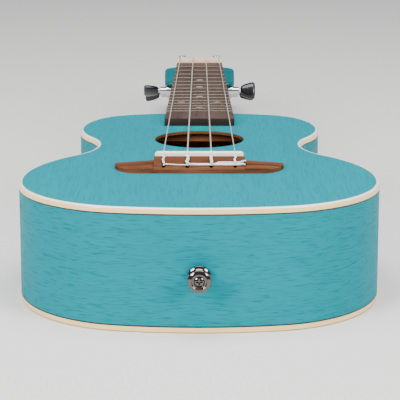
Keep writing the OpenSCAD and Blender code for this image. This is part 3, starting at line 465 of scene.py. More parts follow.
def evaluated(obj):
    """A new mesh of an object with its modifiers."""
    bpy.context.view_layer.update()
    graph = bpy.context.evaluated_depsgraph_get()
    return bpy.data.meshes.new_from_object(obj.evaluated_get(graph))


def modifier(obj, kind, **values):
    made = obj.modifiers.new(kind.title(), kind)
    for key, value in values.items():
        setattr(made, key, value)
    return made


def geometry_tree(name):
    tree = bpy.data.node_groups.get(name)
    if tree:
        return tree, False
    tree = bpy.data.node_groups.new(name, "GeometryNodeTree")
    tree.interface.new_socket("Mesh", in_out="INPUT", socket_type="NodeSocketGeometry")
    tree.interface.new_socket("Mesh", in_out="OUTPUT", socket_type="NodeSocketGeometry")
    return tree, True


def chain(tree, *nodes):
    """Link the geometry through the nodes in order, from the group's input to its output."""
    last = tree.nodes.new("NodeGroupInput").outputs[0]
    for node in nodes:
        tree.links.new(last, node.inputs[0])
        last = node.outputs[0]
    tree.links.new(last, tree.nodes.new("NodeGroupOutput").inputs[0])


def closed_seams():
    """Joins the points that the frame's meshes repeat along their seams."""
    tree, new = geometry_tree("Closed seams")
    if new:
        normals = tree.nodes.new("GeometryNodeRemoveAttribute")
        normals.inputs["Name"].default_value = "custom_normal"
        merge = tree.nodes.new("GeometryNodeMergeByDistance")
        merge.inputs["Distance"].default_value = SEAM
        chain(tree, normals, merge)
    return tree


def soft_shading():
    """Shades a mesh smooth, apart from its sharp edges."""
    tree, new = geometry_tree("Soft shading")
    if new:
        faces = tree.nodes.new("GeometryNodeSetShadeSmooth")
        edges = tree.nodes.new("GeometryNodeSetShadeSmooth")
        edges.domain = "EDGE"
        edges.inputs["Shade Smooth"].default_value = False
        angle = tree.nodes.new("GeometryNodeInputMeshEdgeAngle")
        above = tree.nodes.new("FunctionNodeCompare")
        above.inputs["B"].default_value = CREASE
        tree.links.new(angle.outputs["Unsigned Angle"], above.inputs["A"])
        tree.links.new(above.outputs[0], edges.inputs["Selection"])
        chain(tree, faces, edges)
    return tree


def refine(obj, bevel=0.0, segments=2):
    """Round a piece's edges and shade it smooth."""
    if "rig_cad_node" in obj:
        modifier(obj, "NODES", node_group=closed_seams())
    if bevel:
        if "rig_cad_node" in obj:
            modifier(obj, "DECIMATE", decimate_type="DISSOLVE", angle_limit=FLAT)
        modifier(obj, "BEVEL", width=bevel, segments=segments, limit_method="ANGLE",
                 angle_limit=CREASE, use_clamp_overlap=True)
    modifier(obj, "NODES", node_group=soft_shading())


def dress(names, finish, bevel=0.0, **options):
    """Give the frame's own pieces their finish."""
    for name in names:
        obj = NODES[name]
        obj.data.materials.clear()
        obj.data.materials.append(finish)
        refine(obj, bevel, **options)


# ---- Finishes ----

class Value:
    """A value in a finish: the operators add its maths nodes."""

    def __init__(self, finish, socket):
        self.finish = finish
        self.socket = socket

    def maths(self, operation, *terms):
        return self.finish.node("ShaderNodeMath", {"operation": operation},
                                dict(enumerate(terms)))

    def __add__(self, other):
        return self.maths("ADD", self, other)

    def __sub__(self, other):
        return self.maths("SUBTRACT", self, other)

    def __rsub__(self, other):
        return self.maths("SUBTRACT", other, self)

    def __mul__(self, other):
        return self.maths("MULTIPLY", self, other)

    __radd__ = __add__
    __rmul__ = __mul__

    def above(self, limit):
        return self.maths("GREATER_THAN", self, limit)


class Finish:
    """A material made of nodes."""

    def __init__(self, name):
        self.material = bpy.data.materials.new(name)
        self.material.use_nodes = True
        self.tree = self.material.node_tree
        self.tree.nodes.clear()
        self.place = self.node("ShaderNodeTexCoord", output="Object")

    def node(self, kind, options=None, sockets=None, output=0):
        """Add a node: its options first, then the values or links of its sockets."""
        made = self.tree.nodes.new(kind)
        for key, value in (options or {}).items():
            if key == "stops":
                ramp = made.color_ramp
                while len(ramp.elements) < len(value):
                    ramp.elements.new(0.5)
                for element, (at, level) in zip(ramp.elements, value):
                    element.position = at
                    element.color = (level, level, level, 1)
            else:
                setattr(made, key, value)
        for key, value in (sockets or {}).items():
            if isinstance(value, Value):
                self.tree.links.new(value.socket, made.inputs[key])
            else:
                made.inputs[key].default_value = value
        return Value(self, made.outputs[output])

    def stretched(self, scale, rotation=(0, 0, 0), place=None):
        """Coordinates scaled per metre, so a pattern can run along the grain."""
        return self.node("ShaderNodeMapping", None,
                         {"Vector": place or self.place, "Scale": scale, "Rotation": rotation})

    def noise(self, place, scale=1.0, detail=4.0, roughness=0.55):
        return self.node("ShaderNodeTexNoise", None,
                         {"Vector": place, "Scale": scale, "Detail": detail,
                          "Roughness": roughness})

    def ramp(self, value, *stops):
        return self.node("ShaderNodeValToRGB", {"stops": stops}, {"Fac": value})

    def blend(self, share, a, b):
        return self.node("ShaderNodeMix", {"data_type": "RGBA"}, {0: share, 6: a, 7: b}, output=2)

    def bent(self, strength, scale):
        """Coordinates shifted by a slow noise, so that lines wander."""
        drift = self.node("ShaderNodeTexNoise", None,
                          {"Vector": self.place, "Scale": scale, "Detail": 1.5}, output=1)
        centred = self.node("ShaderNodeVectorMath", {"operation": "SUBTRACT"},
                            {0: drift, 1: (0.5, 0.5, 0.5)})
        scaled = self.node("ShaderNodeVectorMath", {"operation": "SCALE"},
                           {0: centred, "Scale": strength})
        return self.node("ShaderNodeVectorMath", {"operation": "ADD"}, {0: self.place, 1: scaled})

    def bump(self, height, depth, strength=1.0):
        return self.node("ShaderNodeBump", None,
                         {"Height": height, "Distance": depth, "Strength": strength})

    def done(self, **sockets):
        """Close the finish with its surface; names use _ for a space."""
        values = {key.replace("_", " "): value for key, value in sockets.items()}
        surface = self.node("ShaderNodeBsdfPrincipled", None, values)
        out = self.tree.nodes.new("ShaderNodeOutputMaterial")
        self.tree.links.new(surface.socket, out.inputs["Surface"])
        return self.material


def colour(rgb, gain=1.0):
    return tuple(min(1.0, c * gain) for c in rgb) + (1.0,)


def stained_wood(name, grain, slant=(0, 0, 0), pore=0.5, gain=1.0, bare_in_shade=None):
    """Turquoise stain over open-grained wood; grain is the pattern's scale along X, Y and Z."""
    c = settings().colours
    f = Finish(name)
    bent = f.bent(0.004, 10)
    lines = f.noise(f.stretched(grain, slant, bent), detail=5, roughness=0.62)
    broad = f.noise(f.stretched([g * 0.22 for g in grain], slant, bent), detail=3)
    cloud = f.noise(f.place, scale=11, detail=3)
    pores = f.ramp(lines, (0.33, 1), (0.50, 0))
    wave = f.ramp(broad, (0.35, 0), (0.65, 1))
    light = f.blend(cloud, colour(c.stain, gain * 0.93), colour(c.stain, gain * 1.07))
    tone = f.blend(wave * 0.30, light, colour(c.stain, gain * 1.16))
    stained = f.blend(pores * pore, tone, colour(c.stain_deep, gain))
    rough = 0.42 + cloud * 0.08 + pores * 0.12
    # Where the wood is bare it is painted as mahogany at 40 to 60 per cent: bare wood, darkened as
    # painted shade inside the body and on the cut edges.
    if bare_in_shade is not None:
        stained = f.blend(bare_in_shade(f), stained, f.blend(lines, colour(c.mahogany, 0.4),
                                                    colour(c.mahogany, 0.6)))
    height = lines * 0.35 - pores * 0.8
    return f.done(Base_Color=stained, Roughness=rough, Specular_IOR_Level=0.06,
                  Normal=f.bump(height, 0.00012, 0.55))


def natural_wood(name, light, dark, grain, streak=0.6, rough=0.5, shine=0.4, pore=0.5, end=None,
                 darkening_share=1.0):
    """Bare or oiled wood with streaks and pores along the grain, and darker where end says, which
    is end grain on the fingerboard and painted shade on the bridge's raised block.
    """
    f = Finish(name)
    bent = f.bent(0.010, 20)
    bands = f.noise(f.stretched([g * 0.16 for g in grain], (0, 0, 0), bent), detail=4,
                    roughness=0.6)
    fibres = f.noise(f.stretched(grain, (0, 0, 0), bent), detail=6, roughness=0.65)
    pores = f.ramp(fibres, (0.30, 1), (0.42, 0))
    streaks = f.ramp(bands, (0.40, 0), (0.68, 1))
    body = f.blend(fibres, colour(light, 0.78), colour(light, 1.25))
    tone = f.blend(streaks * streak, body, colour(dark))
    pores_and_shade = f.blend(pores * pore, tone, colour(dark, 0.55))
    if end is not None:
        # Where end marks, the wood is painted darker: end grain on the fingerboard, painted shade
        # over the bridge's raised block.
        pores_and_shade = f.blend(end(f) * darkening_share, pores_and_shade, colour(dark, 0.9))
    return f.done(Base_Color=pores_and_shade, Roughness=rough + fibres * 0.15, Specular_IOR_Level=shine,
                  Normal=f.bump(fibres * 0.4 - pores * 0.7, 0.00010, 0.6))


def moulded(name, rgb, rough, coat=0.0, mottle=0.04, grain_scale=90, texture=0.00002, face=None):
    """Plastic or bone with a faint mottle, a fine texture and, if face is given, a painted
    highlight on its tops.
    """
    f = Finish(name)
    cloud = f.noise(f.place, scale=grain_scale, detail=3)
    fine = f.noise(f.place, scale=grain_scale * 30, detail=2)
    tone = f.blend(cloud, colour(rgb, 1 - mottle), colour(rgb, 1 + mottle))
    # Faces that look up are painted paler, as a painted highlight.
    if face is not None:
        tone = f.blend(f.ramp(upward(f), (0.25, 0), (0.85, 1)), tone, colour(face))
    return f.done(Base_Color=tone, Roughness=rough + cloud * 0.06, Coat_Weight=coat,
                  Coat_Roughness=0.12, Normal=f.bump(fine, texture, 0.3))


def polished_metal(name, rgb, rough, brushed=0.0):
    """Bright metal with a faint polish pattern."""
    f = Finish(name)
    cloud = f.noise(f.place, scale=160, detail=4)
    fine = f.noise(f.place, scale=2600, detail=2)
    tone = f.blend(cloud, colour(rgb, 0.94), colour(rgb, 1.05))
    return f.done(Base_Color=tone, Metallic=1.0, Roughness=rough + cloud * 0.05 + fine * brushed,
                  Normal=f.bump(fine, 0.000004, 0.25))


def upward(f):
    """How far a face looks up."""
    normal = f.node("ShaderNodeNewGeometry", output="Normal")
    return f.node("ShaderNodeSeparateXYZ", None, {0: normal}, output="Z")


def upper_side(f):
    """Marks the faces that look up."""
    return upward(f).above(0.5)


def below_face(depth):
    """Marks what lies more than a little below the soundboard's face, where no stain reaches."""
    def mask(f):
        body, a = settings().body, taper()
        y = f.node("ShaderNodeSeparateXYZ", None, {0: f.place}, output=1)
        z = f.node("ShaderNodeSeparateXYZ", None, {0: f.place}, output=2)
        top = laid((0, 0, 0))
        drop = (y - top.y) * -math.sin(a) - (z - top.z) * math.cos(a)
        return drop.above(depth)
    return mask


def above_face(height):
    """Marks what stands more than a little above the soundboard."""
    return lambda f: 1 - below_face(-height)(f)


def end_grain(f):
    """Marks the faces across the neck."""
    normal = f.node("ShaderNodeNewGeometry", output="Normal")
    along_neck = f.node("ShaderNodeSeparateXYZ", None, {0: normal}, output="Y")
    return along_neck.maths("ABSOLUTE", along_neck).above(0.8)


def inner_side(f):
    """Marks the faces that look into the body."""
    normal = f.node("ShaderNodeNewGeometry", output="Normal")
    outward = f.node("ShaderNodeVectorMath", {"operation": "MULTIPLY"},
                     {0: f.place, 1: (1, 1, 0)})
    facing = f.node("ShaderNodeVectorMath", {"operation": "DOT_PRODUCT"},
                    {0: normal, 1: outward}, output="Value")
    return 1 - facing.above(-0.004)


# ---- Pieces ----

class Piece:
    """What every operator of this add-on shares."""
    bl_options = {"REGISTER", "UNDO"}


class UKULELE_OT_trim(Piece, Operator):
    """Bend the two cream bindings round the edges of the body"""
    bl_idname = "ukulele.trim"
    bl_label = "Bindings"

    def execute(self, context):
        b, c = settings().body, settings().colours
        # The cream binding gets a painted highlight on its upper faces.
        cream = moulded("Cream binding", c.binding, 0.26, coat=0.6, mottle=0.035,
                        face=c.binding_highlight)
        round_top = [(b.edge_round * (1 - math.cos(a)), b.edge_round * (math.sin(a) - 1))
                     for a in quarter(6)]
        top = [(b.rib, 0), (b.rib, -b.binding), (0, -b.binding)]
        for name, section, place in (
                ("top_binding", round_top + top, laid),
                ("back_binding", [(i, -z) for i, z in round_top + top], on_back)):
            loops = [outline(inset) for inset, _ in section]
            band = [[(*loops[j][i], section[j][1]) for j in range(len(section))]
                    for i in range(len(loops[0]))]
            points, faces = rings(band, closed=True)
            if place is laid:
                faces = inside_out(faces)
            refine(add(name + "_strip", points, faces, cream, "cream_trim", stands_for=[name],
                       place=place))
        return {"FINISHED"}


class UKULELE_OT_body(Piece, Operator):
    """Stain the soundboard, back and ribs, and finish the wood inside"""
    bl_idname = "ukulele.body"
    bl_label = "Body"

    def execute(self, context):
        c = settings().colours
        top = stained_wood("Stained soundboard", (900, 55, 300), pore=0.24,
                           bare_in_shade=below_face(0.3 * MM))
        back = stained_wood("Stained back", (900, 55, 300), pore=0.36, bare_in_shade=upper_side)
        ribs = stained_wood("Stained ribs", (120, 120, 1500), slant=(0, math.radians(10), 0),
                            pore=0.5, bare_in_shade=inner_side)
        dress(["soundboard"], top)
        dress(["back_plate"], back)
        dress(["left_rib", "right_rib"], ribs)
        dress(["top_purfling", "back_purfling"], moulded("Dark line", c.line, 0.42, mottle=0.1))
        dress(["top_lining", "back_lining", "lower_brace", "fan_braces", "back_braces",
               "back_seam_strip"],
              natural_wood("Spruce inside", c.spruce, colour(c.spruce, 0.6)[:3], (300, 24, 300),
                           streak=0.3, rough=0.62, shine=0.25, pore=0.2), bevel=0.25 * MM)
        dress(["tail_block", "neck_block", "upper_brace", "bridge_patch"],
              natural_wood("Mahogany inside", c.mahogany, c.rosewood_dark, (40, 300, 420),
                           streak=0.35, rough=0.6, shine=0.25), bevel=0.25 * MM)
        return {"FINISHED"}


class UKULELE_OT_bridge(Piece, Operator):
    """Carve the tie bridge with its block, channel and string holes, and set the saddle in it"""
    bl_idname = "ukulele.bridge"
    bl_label = "Bridge and saddle"

    def block_profile(self):
        """Side view of the raised block, from the tail side's foot to the neck side's foot."""
        b = settings().bridge
        y, h = b.tail_side / MM, b.block_height / MM
        return [(y, 0), (y, 2.0), (y + 0.15, 2.35), (y + 0.6, 2.55), (y + 2, 2.72), (y + 3.8, 3.35),
                (y + 5.3, 4.5), (y + 6.3, 5.9), (y + 6.8, h - 0.9), (y + 7.2, h - 0.3),
                (y + 7.9, h), (y + 10.5, h + 0.05), (y + 13, h), (y + 13.5, h - 0.2),
                (y + 13.7, h - 0.7), (y + 13.8, 3.0), (y + 15.4, 3.0), (y + 15.6, 6.0),
                (y + 15.9, 6.3), (y + 16.6, 6.35), (y + 20.6, 6.3), (y + 22, 5.7),
                (y + 23.6, 3.3), (y + 24.6, 1.6), (y + 25, 1.0), (y + 25, 0)]

    def wing_profile(self, x):
        """Side view of a wing at x, with as many points as the block's."""
        b = settings().bridge
        half, tail, length = b.width / 2 / MM, b.tail_side / MM, b.length / MM
        x, neck = abs(x), tail + length
        over = max(0.0, x - half + b.tail_corner / MM) / (b.tail_corner / MM)
        tail += b.tail_corner_length / MM * (1 - math.sqrt(max(0.0, 1 - over * over)))
        over = max(0.0, x - half + b.neck_corner / MM) / (b.neck_corner / MM)
        neck -= b.neck_corner / MM * (1 - math.sqrt(max(0.0, 1 - over * over)))
        out = max(0.0, (x - b.block / 2 / MM) / (half - b.block / 2 / MM))
        drop = b.wing_drop / MM
        edge = 0.45

        def top(y):
            share = (y - b.tail_side / MM) / length
            return (mix(b.wing_tail / MM - drop * out ** 3, b.wing_neck / MM - 1.2 * drop * out,
                        share) + 0.9 * share * (1 - share))

        span = neck - tail - 2 * edge
        curve = [(0, 1), (0.12, 0.5), (0.45, 0.15), (1, 0)]
        near = [(tail + edge * a, top(tail + edge) - edge * d) for a, d in curve]
        far = [(neck - edge * a, top(neck - edge) - edge * d) for a, d in reversed(curve)]
        inner = [tail + edge + span * (k + 1) / 17 for k in range(16)]
        return [(tail, 0)] + near + [(y, top(y)) for y in inner] + far + [(neck, 0)]

    def execute(self, context):
        b, c = settings().bridge, settings().colours
        # The raised block above 3.3 mm is painted darker: a painted shade.
        rosewood = natural_wood("Rosewood bridge", c.rosewood, c.rosewood_dark, (26, 600, 600),
                                streak=0.85, rough=0.55, shine=0.08, pore=0.9,
                                end=above_face(3.3 * MM), darkening_share=0.42)
        edge, half = b.block / 2 / MM, b.width / 2 / MM
        block = self.block_profile()
        shoulder = [(-0.5, 0), (-0.2, 0.02), (-0.05, 0.08), (0, 0.65), (0.2, 0.84), (0.5, 0.95),
                    (1, 1)]
        tip = [4, 8, 12, 15, 17, 18.5, 20, 21, 21.8, 22.4, 22.9, 23.2]
        stations = ([(x, 0) for x in range(0, 25, 4)] + [(edge + x, t) for x, t in shoulder]
                    + [(edge + x * (half - edge) / tip[-1], 1) for x in tip])
        loops = []
        for x, share in [(-x, t) for x, t in reversed(stations[1:])] + stations:
            loops.append([Vector((x, mix(p[0], q[0], share), mix(p[1], q[1], share))) * MM
                          for p, q in zip(block, self.wing_profile(x))])
        bridge = add("bridge_carved", *rings(loops), rosewood, "rosewood", stands_for=["bridge"])
        pitch = settings().strings.saddle_pitch
        drill(bridge, [[(Vector((pitch * (i - 1.5), b.tail_side + y * MM, b.hole_height)), b.hole)
                        for y in (-3, 14.6)] for i in range(4)])

        # The saddle's top gets a painted highlight.
        bone = moulded("Bone saddle", c.bone, 0.28, coat=0.25, mottle=0.03, grain_scale=220,
                       face=c.bone_highlight)
        y, t, w, h = b.saddle_at, b.saddle / 2, b.saddle_width / 2, b.saddle_top
        foot, corner = 1.2 * MM, 2 * MM
        right = [(w, foot)]
        right += [(w - corner + corner * math.cos(a), h - corner + corner * math.sin(a))
                  for a in quarter(6)]
        side = right + [(-x, z) for x, z in reversed(right)]
        rear, front = ([Vector((x, across, z)) for x, z in side] for across in (y + t, y - t))
        saddle = add("saddle_bone", *rings([rear, front]), bone, "bone", stands_for=["saddle"])
        refine(saddle, bevel=0.8 * MM, segments=4)
        carve(bridge, saddle)
        refine(bridge)
        return {"FINISHED"}


class UKULELE_OT_neck(Piece, Operator):
    """Carve the neck and heel in one, and shape the headstock"""
    bl_idname = "ukulele.neck"
    bl_label = "Neck and headstock"

    def board_width(self, y):
        n = settings().neck
        return n.board_nut + (n.board_end - n.board_nut) * (n.nut_at - y) / (n.nut_at - n.board_at)

    def shaft(self):
        """The rounded shaft, running on under the headstock as a short tongue."""
        n, head, body = settings().neck, settings().head, settings().body
        set_in, skin, fullness, sides = 2 * MM, 1 * MM, 0.8, 40
        under = [math.pi + math.pi * j / sides for j in range(sides + 1)]
        start, end = body.length - set_in, head_start()
        loops = []
        for k in range(31):
            t = k / 30
            y = mix(start, end, t)
            w, d = self.board_width(y) / 2, mix(n.depth_heel, n.depth_nut, t)
            loops.append([Vector((w * math.cos(a), y, -d * abs(math.sin(a)) ** fullness))
                          for a in under])
        tongue = 26 * MM
        for k in range(1, 15):
            t = k / 14
            y = tongue * t
            w = (n.board_nut / 2) * (1 - 0.55 * t * t)
            d = mix(n.depth_nut + head.face, head.thickness - 1.2 * MM, smooth(t ** 0.8))
            loops.append([on_head((w * math.cos(a), y,
                                   -skin - (d - skin) * abs(math.sin(a)) ** fullness))
                          for a in under])
        return rings(loops)

    def heel(self):
        """The heel as levels seen from above: square at the body, round towards the head."""
        n, body = settings().neck, settings().body
        foot, set_in = -(body.neck_depth - n.heel_rise), 2 * MM
        back = body.length - set_in
        loops = []
        for k in range(25):
            t = k / 24
            z = mix(-n.depth_heel * 0.5, foot, t)
            w = n.heel_foot + (self.board_width(body.length) - n.heel_foot) * (1 - t) ** 1.2
            reach = n.heel_reach * (0.34 + 0.66 * (1 - t) ** 2.2)
            loop = [Vector((-w / 2, back, z)), Vector((w / 2, back, z))]
            loop += [Vector((w / 2 * math.cos(a), back + set_in + reach * math.sin(a) ** 0.9, z))
                     for a in [math.pi * j / 32 for j in range(33)]]
            loops.append(loop)
        return rings(loops)

    def execute(self, context):
        n = settings().neck
        # The neck and headstock's stain is painted at 0.72 of its colour: painted shade, as less
        # light falls on them than on the body.
        stain = stained_wood("Stained neck", (800, 50, 800), pore=0.36, gain=0.72)
        points, faces = self.shaft()
        heel_points, heel_faces = self.heel()
        faces += [tuple(k + len(points) for k in face) for face in heel_faces]
        points += heel_points
        neck = add("neck_carved", points, faces, stain, "turquoise_wood", stands_for=["neck"])
        self.keep_top(neck, n.voxel)
        past = 20 * MM
        levels = (-settings().body.tail_depth - past, past)
        carve_skin(neck, *rings([[Vector((p[0], p[1], z)) for p in outline(0)] for z in levels]))
        carve(neck, self.headstock(stain))
        refine(neck)
        return {"FINISHED"}

    def keep_top(self, neck, voxel):
        """Fuse the shaft and heel, and soften where they meet without losing the flat top."""
        modifier(neck, "REMESH", mode="VOXEL", voxel_size=voxel, use_smooth_shade=True)
        fused = evaluated(neck)
        neck.modifiers.clear()
        neck.data = fused
        a, crisp, fade = taper(), 0.4 * MM, 1.6 * MM
        soft = neck.vertex_groups.new(name="soft")
        top = laid((0, 0, 0))
        for v in fused.vertices:
            height = (v.co.z - top.z) * math.cos(a) + (v.co.y - top.y) * math.sin(a)
            soft.add([v.index], smooth((-height - crisp) / fade), "REPLACE")
        modifier(neck, "SMOOTH", factor=0.5, iterations=14, vertex_group="soft")

    def half_width(self, y):
        n, head, t = settings().neck, settings().head, settings().tuners
        return (n.board_nut / 2 + (head.near - n.board_nut) / 2 * smooth(y / head.flare)
                + (head.far - head.near) / 2 * smooth((y - t.near) / t.step))

    def headstock(self, stain):
        head = settings().head
        r, straight = head.corner, head.length - head.corner
        side = [(self.half_width(y), y) for y in [straight * k / 36 for k in range(37)]]
        w = self.half_width(head.length)
        side += [(w - r + r * math.cos(a), straight + r * math.sin(a))
                 for a in quarter(8, 1)]
        side += [((w - r) * (1 - k / 8), head.length + head.crest * smooth(k / 8))
                 for k in range(1, 9)]
        loop = side + [(-x, y) for x, y in reversed(side[:-1])]
        levels = [Vector((0, 0, z)) for z in (-head.thickness, 0)]
        points, faces = rings([[Vector((x, y, 0)) + lift for x, y in loop] for lift in levels])
        obj = add("headstock_shaped", [on_head(p) for p in points], faces, stain,
                  "turquoise_wood", stands_for=["headstock"])
        refine(obj, bevel=head.edge, segments=5)
        modifier(obj, "WELD", merge_threshold=0.005 * MM)
        past = 5 * MM
        bushing = settings().tuners.bushing
        drill(obj, [[(at_tuner(key, (0, 0, -head.thickness - past)), bushing),
                     (at_tuner(key, (0, 0, past)), bushing)] for key in STRINGS], 48)
        carve(obj, NODES["tuner_screws"])
        refine(obj)
        return obj


class UKULELE_OT_fingerboard(Piece, Operator):
    """Finish the fingerboard with its frets and dots, and shape the nut"""
    bl_idname = "ukulele.fingerboard"
    bl_label = "Fingerboard and nut"

    def execute(self, context):
        c = settings().colours
        dress(["fingerboard"],
              natural_wood("Rosewood fingerboard", c.board, c.board_dark, (420, 20, 420),
                           streak=0.5, rough=0.48, shine=0.3, pore=0.6, end=end_grain),
              bevel=0.25 * MM)
        # The frets' darkened metal is a painted dark reflection.
        dress(["frets"], polished_metal("Fret wire", c.fret, 0.42), bevel=0.12 * MM)
        dress(["fret_markers"], moulded("Dots", c.dot, 0.3, coat=0.3, mottle=0.08))
        dress(["nut"], moulded("Bone nut", c.nut, 0.28, coat=0.25, mottle=0.03, grain_scale=220),
              bevel=0.3 * MM, segments=3)
        return {"FINISHED"}


class UKULELE_OT_strings(Piece, Operator):
    """String the instrument: each string is tied at the bridge and wound on its post"""
    bl_idname = "ukulele.strings"
    bl_label = "Strings"

    def face(self, u):
        """The block's face towards the tail, from its foot (0) over its top (1), and its slope."""
        b = settings().bridge
        y, h = b.tail_side, b.block_height
        stops = [(4.6 * MM, 3.9 * MM), (5.3 * MM, 4.5 * MM), (6.3 * MM, 5.9 * MM),
                 (6.9 * MM, h - 0.7 * MM), (7.6 * MM, h), (9.0 * MM, h + 0.05 * MM)]
        path = along([(0, y + a, z) for a, z in stops], 10)
        at = min(len(path) - 2, max(0, int(u * (len(path) - 1))))
        share = u * (len(path) - 1) - at
        p = path[at].lerp(path[at + 1], share)
        t = (path[at + 1] - path[at]).normalized()
        return p, Vector((0, -t.z, t.y))

    def strand(self, i, side):
        """One strand of the twisted tie, from the foot of the face to the top of the block."""
        s = settings().strings
        x, r = s.saddle_pitch * (i - 1.5), s.diameters[i] / 2
        points = []
        steps = 44
        for k in range(steps + 1):
            u = k / steps
            p, normal = self.face(u * 0.84)
            a = side * math.pi / 2 + 2 * math.pi * s.twist * (1 - u)
            over_ends = (0.25 + 0.3 * i) * MM * math.sin(math.pi * min(1, u * 1.25)) ** 2
            centre = p + normal * (2.05 * r + over_ends)
            wander = 0.28 * MM * math.sin(2 * math.pi * u * 1.2 + i * 2.1)
            points.append(centre + Vector((x + wander + r * 1.3 * math.sin(a), 0, 0))
                          + normal * r * 1.06 * math.cos(a))
        return points

    def tail(self, i):
        """The tied end: along the block, under the next loops, to its cut end."""
        b, s = settings().bridge, settings().strings
        r = s.diameters[i] / 2
        x0, last = s.saddle_pitch * (i - 1.5), s.saddle_pitch * 1.5
        end = b.block / 2 + (0.3, -0.9, 0.6, -0.3)[i] * MM
        level = (0.06, 0.19, 0.33, 0.12)[i]
        fan = (-0.02, 0.05, 0.12, -0.12)[i]
        off = (0.0, 0.0, 0.0, 0.75)[i] * MM
        points = []
        for k in range(1, 19):
            t = k / 18
            x = mix(x0 + 1.2 * MM, end, t)
            spread = smooth((x - last - 2.2 * MM) / (3.6 * MM))
            settle = smooth(t * (6 if i < 3 else 2))
            p, normal = self.face(mix(0.12, level, settle) + fan * spread)
            away = mix(2.0 * r, r * 1.02 + off, settle) + 0.35 * MM * spread
            points.append(Vector((x, 0, 0)) + p + normal * away)
        return points

    def route(self, i, key):
        """A string from its post over nut and saddle, through its hole, to its tied end."""
        b, n, s, t = settings().bridge, settings().neck, settings().strings, settings().tuners
        r = s.diameters[i] / 2
        x = s.saddle_pitch * (i - 1.5)
        nut_x = s.nut_pitch * (i - 1.5)
        y = b.tail_side
        touch = at_tuner(key, (-(t.post + r + s.landing), 0, t.wind_height))
        free = [touch, Vector((nut_x, n.nut_at + n.nut * 0.25, n.nut_slot + r)),
                Vector((x, b.saddle_at + 0.2 * MM, b.saddle_top + r))]
        down = along([(x, b.saddle_at - 0.2 * MM, b.saddle_top + r * 0.98),
                      (x, b.saddle_at - b.saddle / 2 - 0.2 * MM, b.saddle_top - 0.5 * MM + r),
                      (x, y + 15.6 * MM, 7.4 * MM), (x, y + 14.8 * MM, 5.2 * MM),
                      (x, y + 13.6 * MM, b.hole_height + 0.5 * MM),
                      (x, y + 11 * MM, b.hole_height + 0.5 * MM),
                      (x, y + 5.4 * MM, b.hole_height + 0.6 * MM),
                      (x, y + 4.2 * MM, b.hole_height + 0.7 * MM)], 6)
        up = self.strand(i, -1)
        back = list(reversed(self.strand(i, 1)))
        top = b.block_height + r + 0.08 * MM
        loop = along([up[-1], (x - r * 1.5, y + 11 * MM, top), (x - r * 1.6, y + 13.4 * MM, top),
                      (x - r * 1.2, y + 14.6 * MM, top - 0.7 * MM),
                      (x, y + 15.1 * MM, top - 1.5 * MM),
                      (x + r * 1.2, y + 14.6 * MM, top - 0.7 * MM),
                      (x + r * 1.6, y + 13.4 * MM, top),
                      (x + r * 1.5, y + 11 * MM, top), back[0]], 5)
        return free + down + up[:-1] + loop + back[1:-8] + self.tail(i)

    def landed(self, i, key, loop, run):
        """A string's end, slid back along the string until the turns pass it freely."""
        s, t = settings().strings, settings().tuners
        reach = t.post + s.wind_gap + s.diameters[i] + s.landing
        foot = at_tuner(key, (0, 0, 0))
        axis = (at_tuner(key, (0, 0, 1)) - foot).normalized()
        flat = run - axis * run.dot(axis)
        end = []
        for p in loop:
            out = p - foot - axis * (p - foot).dot(axis)
            half, room = out.dot(flat), out.length_squared - reach ** 2
            slide = math.sqrt(max(0, half ** 2 - flat.length_squared * room)) - half
            end.append(p + run * max(0, slide / flat.length_squared))
        return end

    def winding(self, i, key):
        """The turns on a post, then up and through the post's hole."""
        s, t = settings().strings, settings().tuners
        r = s.diameters[i] / 2
        radius, rise, steps = t.post + r + s.wind_gap, s.diameters[i] + 0.02 * MM, 28
        lead = 3
        points = [at_tuner(key, (radius * math.cos(a), radius * math.sin(a),
                                 t.wind_height + rise * k / steps))
                  for k in range(-lead, s.winds * steps + 1)
                  for a in [math.pi - 2 * math.pi * k / steps]]
        top = t.wind_height + rise * s.winds
        for k in range(1, 10):
            a = math.pi - math.pi / 2 * k / 9
            points.append(at_tuner(key, (radius * math.cos(a), radius * math.sin(a),
                                         mix(top, t.hole_height - 0.1 * MM, smooth(k / 9.5)))))
        through = [points[-3], points[-1], at_tuner(key, (0, radius * 0.6, t.hole_height)),
                   at_tuner(key, (0, -radius * 0.5, t.hole_height)),
                   at_tuner(key, (0.1 * MM, -radius - 1.4 * MM, t.hole_height)),
                   at_tuner(key, (0.3 * MM, -radius - 2.6 * MM, t.hole_height - 0.2 * MM))]
        return points[:-3] + along(through, 6)

    def nylon(self):
        """Clear where the strings are taut, and whiter where they are tied at the bridge."""
        b, c = settings().bridge, settings().colours
        f = Finish("Nylon string")
        cloud = f.noise(f.place, scale=400, detail=3)
        saddle = laid((0, b.saddle_at, b.saddle_top)).y
        y = f.node("ShaderNodeSeparateXYZ", None, {0: f.place}, output="Y")
        taut = f.ramp((y - saddle) * 60 + 0.5, (0.42, 0), (0.62, 1))
        tone = f.blend(taut, colour(c.nylon_tied), colour(c.nylon))
        return f.done(Base_Color=tone, Roughness=0.22 + cloud * 0.08, Coat_Weight=0.5,
                      Coat_Roughness=0.12)

    def execute(self, context):
        s = settings().strings
        nylon = self.nylon()
        for i, key in enumerate(STRINGS):
            r = s.diameters[i] / 2
            path = self.route(i, key)
            loops = tube(path, r, 10)
            loops[0] = self.landed(i, key, loops[0], (path[1] - path[0]).normalized())
            add(key + "_string_tied", *rings(loops), nylon, "nylon",
                stands_for=[key + "_string"])
            add(key + "_turns", *rings(tube(self.winding(i, key), r, 8)), nylon, "nylon",
                body=key + "_post", stands_for=[key + "_winding"])
        return {"FINISHED"}


